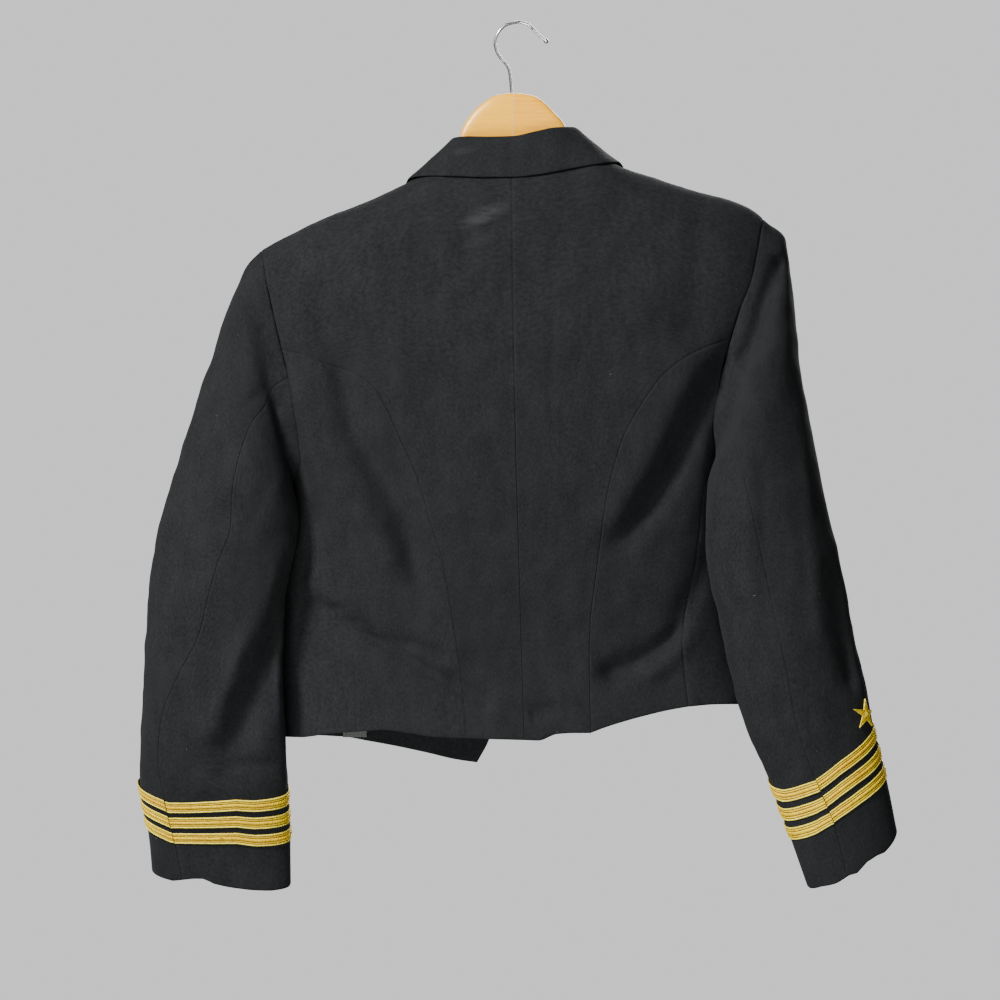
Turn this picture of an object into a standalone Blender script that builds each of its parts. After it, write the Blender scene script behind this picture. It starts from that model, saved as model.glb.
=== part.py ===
# Short black mess jacket on a wooden hanger, modelled as cut and sewn cloth walls.
# The origin is under the crown of the hanger's hook. The jacket's back faces +Y, and the
# wearer's left is +X.
#
# Places on the garment are read from a flat drawing of its back, in millimetres: "across"
# from the drawing's left edge and "down" from its top edge. The hook's crown is at
# HOOK_ACROSS, HOOK_DOWN. Depths are in millimetres towards +Y.

import math
from collections import namedtuple

import bmesh
import bpy
import numpy as np

MM = 0.001
HOOK_ACROSS = 519.0
HOOK_DOWN = 24.0

# Driving sizes, millimetres
CLOTH = 2.0
SEAM_GAP = 0.34
SHOULDER_ROUND = 55.0
LACE_WIDTH = 12.7
LACE_GAP = 6.35
LACE_CLEAR = 0.4
LACE_BODY = 1.0
LACE_RIB = 1.6
LACE_COUNT = 3
STAR_RADIUS = 15.5
STAR_WAIST = 5.2
STAR_CLEAR = {"left": 0.8, "right": 0.8}
STAR_EDGE = 0.6
STAR_CREST = 2.1
STAR_LEAN = {"left": 2.1, "right": 1.3}
STAR_ABOVE_LACE = 24.5
BUTTON_RADIUS = 11.0
BUTTON_STEPS = 12
BUTTON_OFF = 1.6
WIRE_RADIUS = 1.45
BALL_RADIUS = 2.6
WOOD_JOINT = 0.15
LAPEL_CLEAR = 1.0
FRONT_SEAM_TURN = 2.2
YOKE_SHARE = 0.2
YOKE_POWER = 1.7
# A turn of one radian round the body is weighed as this many millimetres along a seam
TURN_WEIGHT = np.array([200.0, 1.0])

# Cells along the shared seams
ARM_TOP = 5
ARM_SEAM = 2
ARM_LOW = 4
ARM_FRONT_LOW = 3
ARM_FRONT = 7
SEAM_ROWS = 16
NECK_COLUMNS = 4
SHOULDER_COLUMNS = 8

# The body's level sections: the side edges, the depth of its middle, how far the back and the
# front stand from that middle, and how square each is (2 is an ellipse).
Level = namedtuple("Level", "down left right middle back front back_square front_square")
LEVELS = [
    Level(120, 255, 775, 0, 38, 30, 3.0, 4.0),
    Level(165, 252, 777, 0, 41, 32, 3.0, 4.0),
    Level(200, 250, 778, -4, 47, 32, 3.0, 4.0),
    Level(260, 252, 772, -9, 55, 32, 3.0, 4.0),
    Level(324, 258, 757, -10, 59, 35, 3.0, 4.0),
    Level(386, 268, 737, -10, 60, 37, 2.9, 3.6),
    Level(437, 282, 718, -9, 59, 38, 2.6, 3.4),
    Level(482, 295, 711.5, -9, 58, 38, 2.3, 3.2),
    Level(510, 295, 711.5, -12, 59, 35, 2.2, 3.0),
    Level(545, 291, 713, -17, 60, 32, 2.2, 3.0),
    Level(600, 280, 722, -22, 62, 28, 2.2, 3.0),
    Level(650, 278, 734, -24, 60, 27, 2.3, 3.0),
    Level(700, 279, 747, -24, 62, 26, 2.4, 3.0),
    Level(740, 281, 755, -24, 64, 26, 2.5, 3.0),
    Level(775, 282, 758, -24, 64, 26, 2.5, 3.0),
]

# The ridge of the shoulders, with its hidden stretch under the collar
RIDGE = [(236, 268), (261, 251), (278, 240), (297, 230), (319, 220), (346, 210), (369, 200), (404, 184.5),
         (440, 169), (512, 161), (590, 154.5), (624, 167), (662, 180), (695, 190), (729, 200),
         (752, 210.5), (763, 219), (780, 238)]

# Folds in the back: a soft trough (negative) or ridge along a line
Fold = namedtuple("Fold", "name line half_width height")
BODY_FOLDS = [
    Fold("left drape", [(318, 325), (340, 365), (352, 425), (385, 480), (407, 525), (412, 590)], 17, -9),
    Fold("left drape crest", [(302, 405), (324, 455), (366, 520), (388, 560)], 19, 6),
    Fold("left side pull", [(308, 480), (330, 555), (340, 590)], 9, -3),
    Fold("right drape", [(722, 360), (700, 410), (682, 460), (664, 505), (650, 545)], 19, -13),
    Fold("right drape crest", [(700, 345), (668, 420), (638, 500), (620, 560)], 24, 4),
    Fold("waist break", [(288, 596), (325, 617), (350, 625), (400, 650), (440, 674), (482, 698)], 10, -6),
    Fold("waist overhang", [(300, 568), (345, 592), (400, 622), (450, 650)], 17, 4),
    Fold("right break", [(706, 565), (690, 602), (668, 640), (640, 660), (612, 672)], 14, -8),
    Fold("right shoulder", [(700, 225), (695, 280), (688, 330)], 15, -3),
    Fold("below collar", [(345, 218), (400, 214), (455, 213)], 8, -2),
    Fold("hem dent", [(527, 716), (561, 704)], 10, -3),
]

# Sleeve rings from the cap to the hem: the outer and inner ends of each as drawn, their
# depths, half the ring's depth, how far its near side hangs down, its squareness, and where
# the elbow seam crosses it, from 0 at the outer end to 1 at the inner end.
Ring = namedtuple("Ring", "out_across out_down out_depth in_across in_down in_depth half drop square elbow")
LEFT_RINGS = [
    Ring(246, 266, -7, 293.5, 491, -6, 40, 0, 2.0, .55),
    Ring(232, 298, -4, 296, 497, 2, 46, 0, 2.0, .54),
    Ring(214, 348, 0, 298, 507, 10, 50, 0, 2.0, .47),
    Ring(196, 405, 4, 299, 519, 15, 51, 0, 2.0, .44),
    Ring(180, 456, 8, 298, 532, 18, 50, 0, 2.0, .46),
    Ring(165, 507, 11, 297, 548, 20, 47, 0, 2.0, .51),
    Ring(155, 550, 14, 290, 574, 21, 44, 0, 2.0, .48),
    Ring(150, 590, 16, 285, 602, 22, 41, 0, 2.1, .445),
    Ring(147, 630, 18, 284, 637, 22, 37, 2, 2.2, .39),
    Ring(145, 670, 19, 283, 674, 22, 33, 4, 2.4, .25),
    Ring(143, 710, 18, 285, 714, 21, 29, 7, 2.6, .14),
    Ring(141, 750, 13, 287, 755, 16, 25, 10, 2.8, .125),
    Ring(140, 786, 4, 288, 787, 6, 22, 13, 3.0, .17),
    Ring(147, 828, -18, 290, 837, -17, 20, 11, 3.0, .19),
    Ring(151, 871, -29, 290, 885, -28, 19, 7, 3.0, .22),
]
RIGHT_RINGS = [
    Ring(786, 240, -7, 714.5, 459, -5, 40, 0, 2.0, .74),
    Ring(791, 275, -4, 712, 466, 2, 46, 0, 2.0, .76),
    Ring(796, 325, 0, 709, 474, 10, 50, 0, 2.0, .77),
    Ring(801, 375, 4, 707, 486, 15, 51, 0, 2.0, .71),
    Ring(809, 420, 8, 706, 499, 18, 50, 0, 2.0, .66),
    Ring(818, 468, 11, 705, 519, 20, 47, 0, 2.0, .62),
    Ring(829, 518, 13, 705, 547, 21, 44, 0, 2.0, .59),
    Ring(840, 566, 14, 709, 580, 22, 42, 0, 2.0, .577),
    Ring(849, 612, 14, 717, 620, 21, 40, 2, 2.0, .568),
    Ring(858, 652, 13, 727, 664, 20, 37, 5, 2.0, .565),
    Ring(866, 690, 12, 744, 722, 18, 33, 14, 2.0, .58),
    Ring(873, 727, 11, 769, 780, 15, 30, 21, 2.0, .567),
    Ring(886, 778, 8, 789, 834, 11, 29, 15, 2.0, .546),
    Ring(897, 832, 5, 807, 885, 8, 28, 13, 2.0, .567),
]
LEFT_SLEEVE_FOLDS = [
    Fold("outer trough", [(241, 328), (232, 360), (211, 400), (200, 453), (197, 490)], 12, -4),
    Fold("break crest", [(292, 548), (276, 590), (254, 642), (234, 690), (208, 745)], 13, 4),
    Fold("break trough", [(286, 615), (268, 655), (252, 705), (236, 748)], 15, -9),
]
RIGHT_SLEEVE_FOLDS = [
    Fold("cap trough", [(785, 252), (775, 275), (765, 303), (754, 340), (738, 372)], 11, -7),
    Fold("pressed ridge", [(803, 420), (807, 480), (811, 540), (816, 606), (819, 660)], 9, 3),
    Fold("outer trough", [(832, 540), (840, 620), (852, 700)], 12, -4),
]

# Armholes: points on the back half and on the front half, from the shoulder tip down
Side = namedtuple("Side", "name sign tip armpit arm_back arm_front princess_start elbow rings folds")
LEFT = Side("left", 1, (261, 251), 482,
            [(265, 274), (276, 324), (284, 357), (291, 386), (295, 411), (299, 437), (301, 460)],
            [(270, 274), (286, 324), (300, 386), (304, 437), (302, 460)],
            350, 377, LEFT_RINGS, LEFT_SLEEVE_FOLDS)
RIGHT = Side("right", -1, (763, 219), 452,
             [(761, 231), (756, 257), (750, 283), (739, 311), (729, 343), (722, 370), (717, 395), (713, 420)],
             [(757, 235), (745, 283), (728, 335), (718, 380), (711, 420)],
             338, 385, RIGHT_RINGS, RIGHT_SLEEVE_FOLDS)

CENTRE_SEAM = [(512, 170), (513, 290), (516, 450), (520, 600), (524, 739)]
NECK_LEFT = [(440, 169), (468, 171), (512, 170)]
NECK_RIGHT = [(590, 154.5), (560, 162), (512, 170)]
PRINCESS_LEFT = [(304, 355), (328, 364), (352, 373), (377, 391), (401, 440), (420, 485), (434, 531),
                 (443, 560), (452, 610), (461, 668), (467, 737)]
PRINCESS_RIGHT = [(695, 352), (660, 378), (631, 421), (615, 461), (604, 510), (598, 557), (590, 623),
                  (589, 673), (590, 732)]
SIDE_SEAM_LEFT = [(311, 505), (325, 540), (333, 567), (341, 601), (347, 620), (353, 643), (356, 684),
                  (357, 731)]
SIDE_SEAM_RIGHT = [(703, 500), (697, 555), (690, 590), (682, 645), (688, 706)]
HEM_BACK_LEFT = [(467, 737), (490, 738), (524, 739)]
HEM_BACK_RIGHT = [(590, 732), (575, 732), (557, 733), (538, 739.5), (524, 739)]
HEM_SIDE_LEFT = [(357, 731), (383, 729), (414, 733), (436, 736), (467, 737)]
HEM_SIDE_RIGHT = [(688, 706), (670, 709), (640, 716), (606, 726), (590, 732)]
# Front hems run from the side seam round the side (True is the back of the body, False the front)
HEM_FRONT_LEFT = [(357, 731, True), (331, 733, True), (301, 737, True), (281, 737, True), (300, 736, False),
                  (343, 738, False), (366, 742, False), (393, 747, False), (426, 754, False),
                  (456, 761, False), (477, 764, False)]
HEM_FRONT_RIGHT = [(688, 706, True), (715, 704, True), (748, 704, True), (742, 704, False), (700, 702, False),
                   (660, 706, False), (620, 716, False), (600, 726, False), (580, 735, False)]
FRONT_EDGE_LEFT = [(440, 169), (450, 190), (456, 215), (464, 260), (474, 320), (486, 400), (495, 480),
                   (500, 545), (501, 600), (500, 660), (497, 700), (490, 738), (477, 764)]
FRONT_EDGE_RIGHT = [(590, 154.5), (581, 180), (575, 210), (570, 260), (566, 320), (562, 400), (560, 480),
                    (560, 545), (560, 600), (562, 660), (570, 705), (580, 735)]
FRONT_EDGE_TOP = 0.42

# Lapels: the roll line and the free edge, from the top down
LAPEL_LEFT_ROLL = [(458, 218), (464, 260), (474, 320), (486, 400), (495, 480), (499, 538)]
LAPEL_LEFT_EDGE = [(392, 232), (399, 275), (417, 335), (444, 412), (470, 480), (492, 536)]
LAPEL_RIGHT_ROLL = [(574, 204), (570, 260), (566, 320), (562, 400), (560, 480), (561, 538)]
LAPEL_RIGHT_EDGE = [(640, 218), (634, 262), (622, 325), (602, 405), (584, 478), (568, 536)]
LAPEL_ROWS = 14
LAPEL_COLUMNS = 4

# The collar's stations from the left front round the back to the right front: the foot of the
# stand, the roll and the free edge of the fall. Depth None lies on the body.
Station = namedtuple("Station", "foot roll edge")
COLLAR = [
    Station((453, 211, None), (455, 208, -40), (405, 211, None)),
    Station((446, 188, None), (453, 176, -27), (404, 196, None)),
    Station((442.5, 167.5, 0), (454, 148, -9), (409, 179.5, 0)),
    Station((449, 168, None), (457, 138.5, 4), (427, 177.5, None)),
    Station((466, 170, None), (468, 137.5, 14), (452, 178, None)),
    Station((488, 170.5, None), (488, 138, 19), (482, 179, None)),
    Station((512, 169.5, None), (512, 137.5, 20), (512, 179, None)),
    Station((536, 166.5, None), (534, 133, 19), (541, 176, None)),
    Station((560, 161.5, None), (556, 128.5, 14), (573, 170, None)),
    Station((578, 156, None), (571, 128, 4), (599, 165.5, None)),
    Station((589, 154.5, 0), (577, 138, -9), (619, 163.5, 0)),
    Station((583, 174, None), (576, 164, -27), (627, 180, None)),
    Station((577, 198, None), (574, 194, -40), (628, 196, None)),
]
COLLAR_STATIONS = 30
COLLAR_FOOT_CLEAR = 4.0
COLLAR_EDGE_CLEAR = 1.6

BUTTON_PLACES = {"left": [(470, 590), (472, 642), (474, 694)],
                 "right": [(592, 590), (594, 640), (600, 690)]}

# The hanger's arms: across, top edge, bottom edge, depth of the middle, thickness
ARM_LEFT = [(513, 93, 160, 0, 13), (503, 93.8, 160, 0, 13), (494, 96, 161, 0, 13), (484, 102, 163, 0, 13),
            (473, 112, 167, 0, 13), (463, 127, 172, 0, 13), (459.5, 138, 176, 0, 13),
            (456, 163, 182, 0, 12), (440, 174, 196, -1, 12), (404, 191, 218, -3, 14),
            (346, 216, 244, -7, 15), (300, 235.5, 260, -9, 16), (285, 246, 258, -10, 14)]
ARM_RIGHT = [(513, 93, 160, 0, 13), (523, 93.8, 160, 0, 13), (534, 96, 160, 0, 13), (544, 102, 160, 0, 13),
             (554, 112, 160, 0, 13), (564, 124, 162, 0, 13), (567.5, 134, 165, 0, 13),
             (572, 153, 170, 0, 12), (590, 161, 182, -1, 12), (624, 175, 199, -3, 14),
             (690, 195.5, 223, -7, 15), (735, 210.5, 236, -9, 16), (750, 220, 234, -10, 14)]
ARM_SIDES = 12

# The hook's wire, from its foot to its ball
HOOK = [(511.5, 92.6), (510.5, 80), (509, 70), (505, 63), (500.5, 58), (496.5, 51), (495, 44),
        (496.5, 36), (501, 29), (508, 24.2), (519, 22.2), (528, 24.5), (534, 30), (539, 35), (545, 40)]

LINING_ACROSS = (342, 366)
LINING_HEIGHT = 27.5
LINING_FOOT = 738.5
LINING_OFF = 2.2
LINING_BODY = 1.0

BLACK_WOOL = (0.012, 0.012, 0.014)
GOLD_LACE = (0.72, 0.48, 0.09)
GILT = (0.80, 0.58, 0.20)
BEECH = (0.86, 0.53, 0.17)
CHROME = (0.62, 0.62, 0.64)
LINING_GREY = (0.10, 0.11, 0.10)


def smooth(xs, ys, at):
    """Read a table at new places along a curve that doesn't overshoot its points."""
    xs = np.asarray(xs, float)
    ys = np.asarray(ys, float)
    at = np.clip(np.asarray(at, float), xs[0], xs[-1])
    step = np.diff(xs)
    flat = ys.reshape(len(xs), -1)
    slope = np.diff(flat, axis=0) / step[:, None]
    before, after = slope[:-1], slope[1:]
    same_way = before * after > 0
    total = np.where(same_way, before + after, 1.0)
    inner = np.where(same_way, 2 * before * after / total, 0.0)
    tangent = np.vstack([slope[:1], inner, slope[-1:]])
    cell = np.clip(np.searchsorted(xs, at, side="right") - 1, 0, len(xs) - 2)
    t = ((at - xs[cell]) / step[cell])[..., None]
    h = step[cell][..., None]
    value = ((2 * t**3 - 3 * t**2 + 1) * flat[cell] + (t**3 - 2 * t**2 + t) * h * tangent[cell]
             + (3 * t**2 - 2 * t**3) * flat[cell + 1] + (t**3 - t**2) * h * tangent[cell + 1])
    return value.reshape(at.shape + ys.shape[1:])


def along(points, fractions):
    """Points at the given fractions of a smooth line's length."""
    points = np.asarray(points, float)
    run = np.concatenate([[0], np.cumsum(np.linalg.norm(np.diff(points, axis=0), axis=1))])
    return smooth(run / run[-1], points, fractions)


LEVEL_DOWNS = [level.down for level in LEVELS]
LEVEL_TABLE = np.array([level[1:] for level in LEVELS])


def level_at(down):
    return smooth(LEVEL_DOWNS, LEVEL_TABLE, down)


def power(value, exponent):
    return math.copysign(abs(value) ** exponent, value)


def fold_height(folds, across, down):
    """Sum of the folds' heights at one place of the drawing."""
    total = 0.0
    here = np.array([across, down], float)
    for fold in folds:
        line = np.asarray(fold.line, float)
        start = line[:-1]
        run = line[1:] - start
        share = np.clip(((here - start) * run).sum(1) / (run * run).sum(1), 0, 1)
        nearest = start + share[:, None] * run
        distance = np.linalg.norm(here - nearest, axis=1).min()
        total += fold.height * math.exp(-(distance / fold.half_width) ** 2)
    return total


def world(across, depth, down):
    """Drawing millimetres to metres in the object's frame."""
    return np.array([(HOOK_ACROSS - across) * MM, depth * MM, (HOOK_DOWN - down) * MM])


def body_angle(across, down, on_back=True, right=False):
    """The turn round the body of a place on the drawing: 0 at the left side edge, a quarter
    turn at the centre back and half a turn at the right side edge."""
    left_edge, right_edge = level_at(down)[:2]
    half = (right_edge - left_edge) / 2
    share = np.clip(((left_edge + right_edge) / 2 - across) / half, -1, 1)
    turn = math.acos(share)
    if on_back:
        return turn
    return 2 * math.pi - turn if right else -turn


def body_point(turn, down, outwards=0.0):
    """A point on the body's outer face."""
    left_edge, right_edge, middle, back, front, back_square, front_square = level_at(down)
    near = math.sin(turn) >= 0
    square = back_square if near else front_square
    half = (right_edge - left_edge) / 2 + outwards
    across = (left_edge + right_edge) / 2 - half * math.cos(turn)
    ridge = float(smooth([p[0] for p in RIDGE], [p[1] for p in RIDGE], across)) - outwards
    share = min(max((down - ridge) / (SHOULDER_ROUND + outwards), 0.0), 1.0)
    round_off = math.sqrt(1 - (1 - share) ** 2)
    reach = (1 - abs(math.cos(turn)) ** square) ** (1 / square) * (1 if near else -1)
    depth = middle + ((back if near else front) + outwards) * reach * round_off
    if near:
        depth += fold_height(BODY_FOLDS, across, down) * abs(reach) * round_off
    return world(across, depth, down)


def seam_turns(points, right=False):
    """Drawing points, with an optional back or front mark, as turn and down pairs."""
    rows = []
    for point in points:
        on_back = point[2] if len(point) > 2 else True
        rows.append((body_angle(point[0], point[1], on_back, right), point[1]))
    return np.array(rows)


def blend_patch(top, bottom, left, right):
    """Fill four border lines with a grid; top and bottom run from left to right. Turns run
    straight from left to right, spaced as on the top and bottom lines."""
    v = np.linspace(0, 1, len(left))[:, None]
    top_share = (top[:, 0] - top[0, 0]) / (top[-1, 0] - top[0, 0])
    bottom_share = (bottom[:, 0] - bottom[0, 0]) / (bottom[-1, 0] - bottom[0, 0])
    share = ((1 - v) * top_share + v * bottom_share)[..., None]
    grid = left[:, None] + (right - left)[:, None] * share
    top_rise = top[:, 1] - top[0, 1] - (top[-1, 1] - top[0, 1]) * top_share
    bottom_rise = bottom[:, 1] - bottom[0, 1] - (bottom[-1, 1] - bottom[0, 1]) * bottom_share
    grid[..., 1] += (1 - v) * top_rise + v * bottom_rise
    return grid


def body_grid(turns):
    """Body points for a grid of turn and down pairs."""
    return np.array([[body_point(turn, down) for turn, down in row] for row in turns])


def arm_share(turn):
    """Share of the armhole's height at a turn round the arm, 0 at the shoulder tip."""
    return (1 - math.cos(turn)) / 2


def arm_turn(side, down):
    share = (down - side.tip[1]) / (side.armpit - side.tip[1])
    return math.acos(1 - 2 * share)


def armhole(side, turns, on_back):
    """Turn and down pairs on the body along one half of the armhole."""
    right = side.sign < 0
    rows = [(0.0, body_angle(side.tip[0], side.tip[1], on_back, right))]
    for across, down in (side.arm_back if on_back else side.arm_front):
        rows.append((arm_turn(side, down), body_angle(across, down, on_back, right)))
    rows.append((math.pi, math.pi if right else 0.0))
    rows = np.array(rows)
    body_turns = smooth(rows[:, 0], rows[:, 1], turns)
    downs = [side.tip[1] + arm_share(turn) * (side.armpit - side.tip[1]) for turn in turns]
    return np.column_stack([body_turns, downs])


def arm_turns(side):
    """Turns round the arm of the shared seam samples, on the back half and the front half."""
    princess = arm_turn(side, side.princess_start)
    elbow = arm_turn(side, side.elbow)
    back = np.concatenate([np.linspace(0, princess, ARM_TOP + 1),
                           np.linspace(princess, elbow, ARM_SEAM + 1)[1:],
                           np.linspace(elbow, math.pi, ARM_LOW + 1)[1:]])
    front = np.concatenate([np.linspace(0, FRONT_SEAM_TURN, ARM_FRONT + 1),
                            np.linspace(FRONT_SEAM_TURN, math.pi, ARM_FRONT_LOW + 1)[1:]])
    return back, front


def body_panels(side):
    """The back, side and front grids of one side, in metres."""
    right = side.sign < 0
    back_turns, front_turns = arm_turns(side)
    arm_back = armhole(side, back_turns, True)
    arm_front = armhole(side, front_turns, False)
    princess_points = PRINCESS_RIGHT if right else PRINCESS_LEFT
    side_points = SIDE_SEAM_RIGHT if right else SIDE_SEAM_LEFT
    even = np.linspace(0, 1, SEAM_ROWS + 1)

    princess_rows = np.vstack([arm_back[ARM_TOP], seam_turns(princess_points)])
    princess = along(princess_rows * TURN_WEIGHT, even) / TURN_WEIGHT
    side_rows = np.vstack([arm_back[-1], seam_turns(side_points)])
    side_seam = along(side_rows * TURN_WEIGHT, even) / TURN_WEIGHT

    yoke_at = np.linspace(0, 1, ARM_TOP + 1) ** YOKE_POWER * YOKE_SHARE
    centre_at = np.concatenate([yoke_at, np.linspace(YOKE_SHARE, 1, SEAM_ROWS + 1)[1:]])
    centre = seam_turns(along(CENTRE_SEAM, centre_at))
    neck = seam_turns(along(NECK_RIGHT if right else NECK_LEFT, np.linspace(0, 1, NECK_COLUMNS + 1)))
    neck_point = (NECK_RIGHT if right else NECK_LEFT)[0]
    ridge_across = np.linspace(side.tip[0], neck_point[0], SHOULDER_COLUMNS + 1)
    ridge_down = smooth([p[0] for p in RIDGE], [p[1] for p in RIDGE], ridge_across)
    shoulder = seam_turns(np.column_stack([ridge_across, ridge_down]))
    top = np.vstack([shoulder, neck[1:]])
    outer = np.vstack([arm_back[:ARM_TOP + 1], princess[1:]])
    hem = seam_turns(along(HEM_BACK_RIGHT if right else HEM_BACK_LEFT, np.linspace(0, 1, len(top))))
    top[0] = outer[0]
    hem[0], hem[-1], top[-1] = outer[-1], centre[-1], centre[0]
    back = body_grid(blend_patch(top, hem, outer, centre))

    arm_part = arm_back[ARM_TOP:][::-1]
    hem = seam_turns(along(HEM_SIDE_RIGHT if right else HEM_SIDE_LEFT, np.linspace(0, 1, len(arm_part))))
    hem[0], hem[-1] = side_seam[-1], princess[-1]
    side_panel = body_grid(blend_patch(arm_part, hem, side_seam, princess))

    outer = np.vstack([arm_front, side_seam[1:]])
    rows_at = np.array([arm_share(turn) for turn in front_turns]) * FRONT_EDGE_TOP
    edge_at = np.concatenate([rows_at, np.linspace(FRONT_EDGE_TOP, 1, SEAM_ROWS + 1)[1:]])
    edge_points = along(FRONT_EDGE_RIGHT if right else FRONT_EDGE_LEFT, edge_at)
    edge = seam_turns([(p[0], p[1], False) for p in edge_points], right)
    ridge_across = np.linspace(side.tip[0], neck_point[0], SHOULDER_COLUMNS + 1)
    ridge_down = smooth([p[0] for p in RIDGE], [p[1] for p in RIDGE], ridge_across)
    top = seam_turns([(a, d, False) for a, d in zip(ridge_across, ridge_down)], right)
    hem_points = seam_turns(HEM_FRONT_RIGHT if right else HEM_FRONT_LEFT, right)
    hem = along(hem_points * TURN_WEIGHT, np.linspace(0, 1, SHOULDER_COLUMNS + 1)) / TURN_WEIGHT
    top[0], top[-1] = outer[0], edge[0]
    hem[0], hem[-1] = side_seam[-1], edge[-1]
    front = body_grid(blend_patch(top, hem, outer, edge))
    return back, side_panel, front


def ring_point(ring, turn, folds):
    """A point on a sleeve ring: turn 0 is the outer end, pi the inner end."""
    shape = 2 / ring.square
    c = power(math.cos(turn), shape)
    s = power(math.sin(turn), shape)
    across = (ring.out_across + ring.in_across) / 2 + (ring.out_across - ring.in_across) / 2 * c
    down = (ring.out_down + ring.in_down) / 2 + (ring.out_down - ring.in_down) / 2 * c + ring.drop * s
    depth = (ring.out_depth + ring.in_depth) / 2 + (ring.out_depth - ring.in_depth) / 2 * c + ring.half * s
    if s > 0:
        depth += fold_height(folds, across, down) * min(1.0, 1.6 * s)
    return world(across, depth, down)


def seam_turn(ring):
    """The turn at which the elbow seam crosses a ring."""
    return math.acos(power(1 - 2 * ring.elbow, ring.square / 2))


def ring_turns(side, ring):
    """Turns of a ring's columns: the upper sleeve's from the front seam over the outer edge to
    the elbow seam, then the under sleeve's on to the front seam again."""
    back, front = arm_turns(side)
    arm_elbow = arm_turn(side, side.elbow)
    elbow = seam_turn(ring)
    upper = np.concatenate([-front[:ARM_FRONT + 1][::-1], back[1:ARM_TOP + ARM_SEAM + 1] * elbow / arm_elbow])
    low_share = (back[ARM_TOP + ARM_SEAM:] - arm_elbow) / (math.pi - arm_elbow)
    under = np.concatenate([elbow + low_share * (math.pi - elbow), 2 * math.pi - front[ARM_FRONT:-1][::-1]])
    return upper, under


def lace_shares():
    """Shares of the way from the top of the first lace to the foot of the last one."""
    whole = LACE_COUNT * LACE_WIDTH + (LACE_COUNT - 1) * LACE_GAP
    shares = []
    for index in range(LACE_COUNT):
        start = index * (LACE_WIDTH + LACE_GAP)
        shares.append((start / whole, (start + LACE_WIDTH) / whole))
    return shares


def sleeve_rings(side):
    """All the sleeve's rings: the table's, with those at the edges of the lace put in."""
    rings = list(side.rings[:-2])
    upper, lower = np.array(side.rings[-3]), np.array(side.rings[-2])
    for start, end in lace_shares():
        for share in (start, end):
            if 0 < share < 1:
                rings.append(Ring(*(upper + (lower - upper) * share)))
    return rings + list(side.rings[-2:])


def sleeve_grids(side):
    """The upper and under sleeve grids; their first row is the armhole."""
    back, front = arm_turns(side)
    arm_back = body_grid([armhole(side, back, True)])[0]
    arm_front = body_grid([armhole(side, front, False)])[0]
    split = ARM_TOP + ARM_SEAM
    upper = [np.vstack([arm_front[:ARM_FRONT + 1][::-1], arm_back[1:split + 1]])]
    under = [np.vstack([arm_back[split:], arm_front[ARM_FRONT:-1][::-1]])]
    for ring in sleeve_rings(side):
        upper_turns, under_turns = ring_turns(side, ring)
        upper.append(np.array([ring_point(ring, turn, side.folds) for turn in upper_turns]))
        under.append(np.array([ring_point(ring, turn, side.folds) for turn in under_turns]))
    return np.array(upper), np.array(under)


def unit(vectors):
    length = np.linalg.norm(vectors, axis=-1, keepdims=True)
    return vectors / np.where(length > 0, length, 1)


def grid_normals(grid):
    """Outward normals, where columns run to the right of someone facing the outer side."""
    along_u = np.gradient(grid, axis=1)
    along_v = np.gradient(grid, axis=0)
    return unit(np.cross(along_v, along_u))


def key_of(point):
    return tuple(np.round(point * 20000).astype(int))


def share_normals(grids, flips):
    """Average the normals of points that adjoining panels share."""
    normals = {}
    total = {}
    for name, grid in grids.items():
        normals[name] = grid_normals(grid) * flips[name]
        for point, normal in zip(grid.reshape(-1, 3), normals[name].reshape(-1, 3)):
            key = key_of(point)
            total[key] = total.get(key, 0) + normal
    for name, grid in grids.items():
        rows, columns = grid.shape[:2]
        for row in range(rows):
            for column in range(columns):
                normals[name][row, column] = unit(total[key_of(grid[row, column])])
    return normals


def seam_shift(grid, normals):
    """Move a panel's border inwards by half of the seam gap."""
    moved = grid.copy()
    half = SEAM_GAP / 2 * MM
    for edge, towards in (((0, slice(None)), (1, slice(None))), ((-1, slice(None)), (-2, slice(None))),
                          ((slice(None), 0), (slice(None), 1)), ((slice(None), -1), (slice(None), -2))):
        tangent = np.gradient(grid[edge], axis=0)
        across = unit(np.cross(tangent, normals[edge]))
        inwards = ((grid[towards] - grid[edge]) * across).sum(-1, keepdims=True)
        moved[edge] += across * np.sign(inwards) * half
    return moved


def wall_mesh(outer, inner):
    """A closed wall between an outer and an inner grid of the same size."""
    rows, columns = outer.shape[:2]
    points = np.vstack([outer.reshape(-1, 3), inner.reshape(-1, 3)])
    count = rows * columns
    faces = []
    for row in range(rows - 1):
        for column in range(columns - 1):
            a = row * columns + column
            quad = (a, a + 1, a + columns + 1, a + columns)
            faces.append(quad)
            faces.append(tuple(count + i for i in reversed(quad)))
    border = [column for column in range(columns)]
    border += [row * columns + columns - 1 for row in range(1, rows)]
    border += [(rows - 1) * columns + column for column in range(columns - 2, -1, -1)]
    border += [row * columns for row in range(rows - 2, 0, -1)]
    for first, second in zip(border, border[1:] + border[:1]):
        faces.append((second, first, count + first, count + second))
    return points, faces


def loft_mesh(sections, closed=False):
    """Join equal rings of points; the two ends are capped unless the loft is closed."""
    sections = np.asarray(sections)
    count, size = sections.shape[:2]
    faces = []
    for index in range(count if closed else count - 1):
        following = (index + 1) % count
        for side in range(size):
            after = (side + 1) % size
            faces.append((index * size + side, index * size + after,
                          following * size + after, following * size + side))
    if not closed:
        faces.append(tuple(range(size - 1, -1, -1)))
        faces.append(tuple((count - 1) * size + side for side in range(size)))
    return sections.reshape(-1, 3), faces


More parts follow.
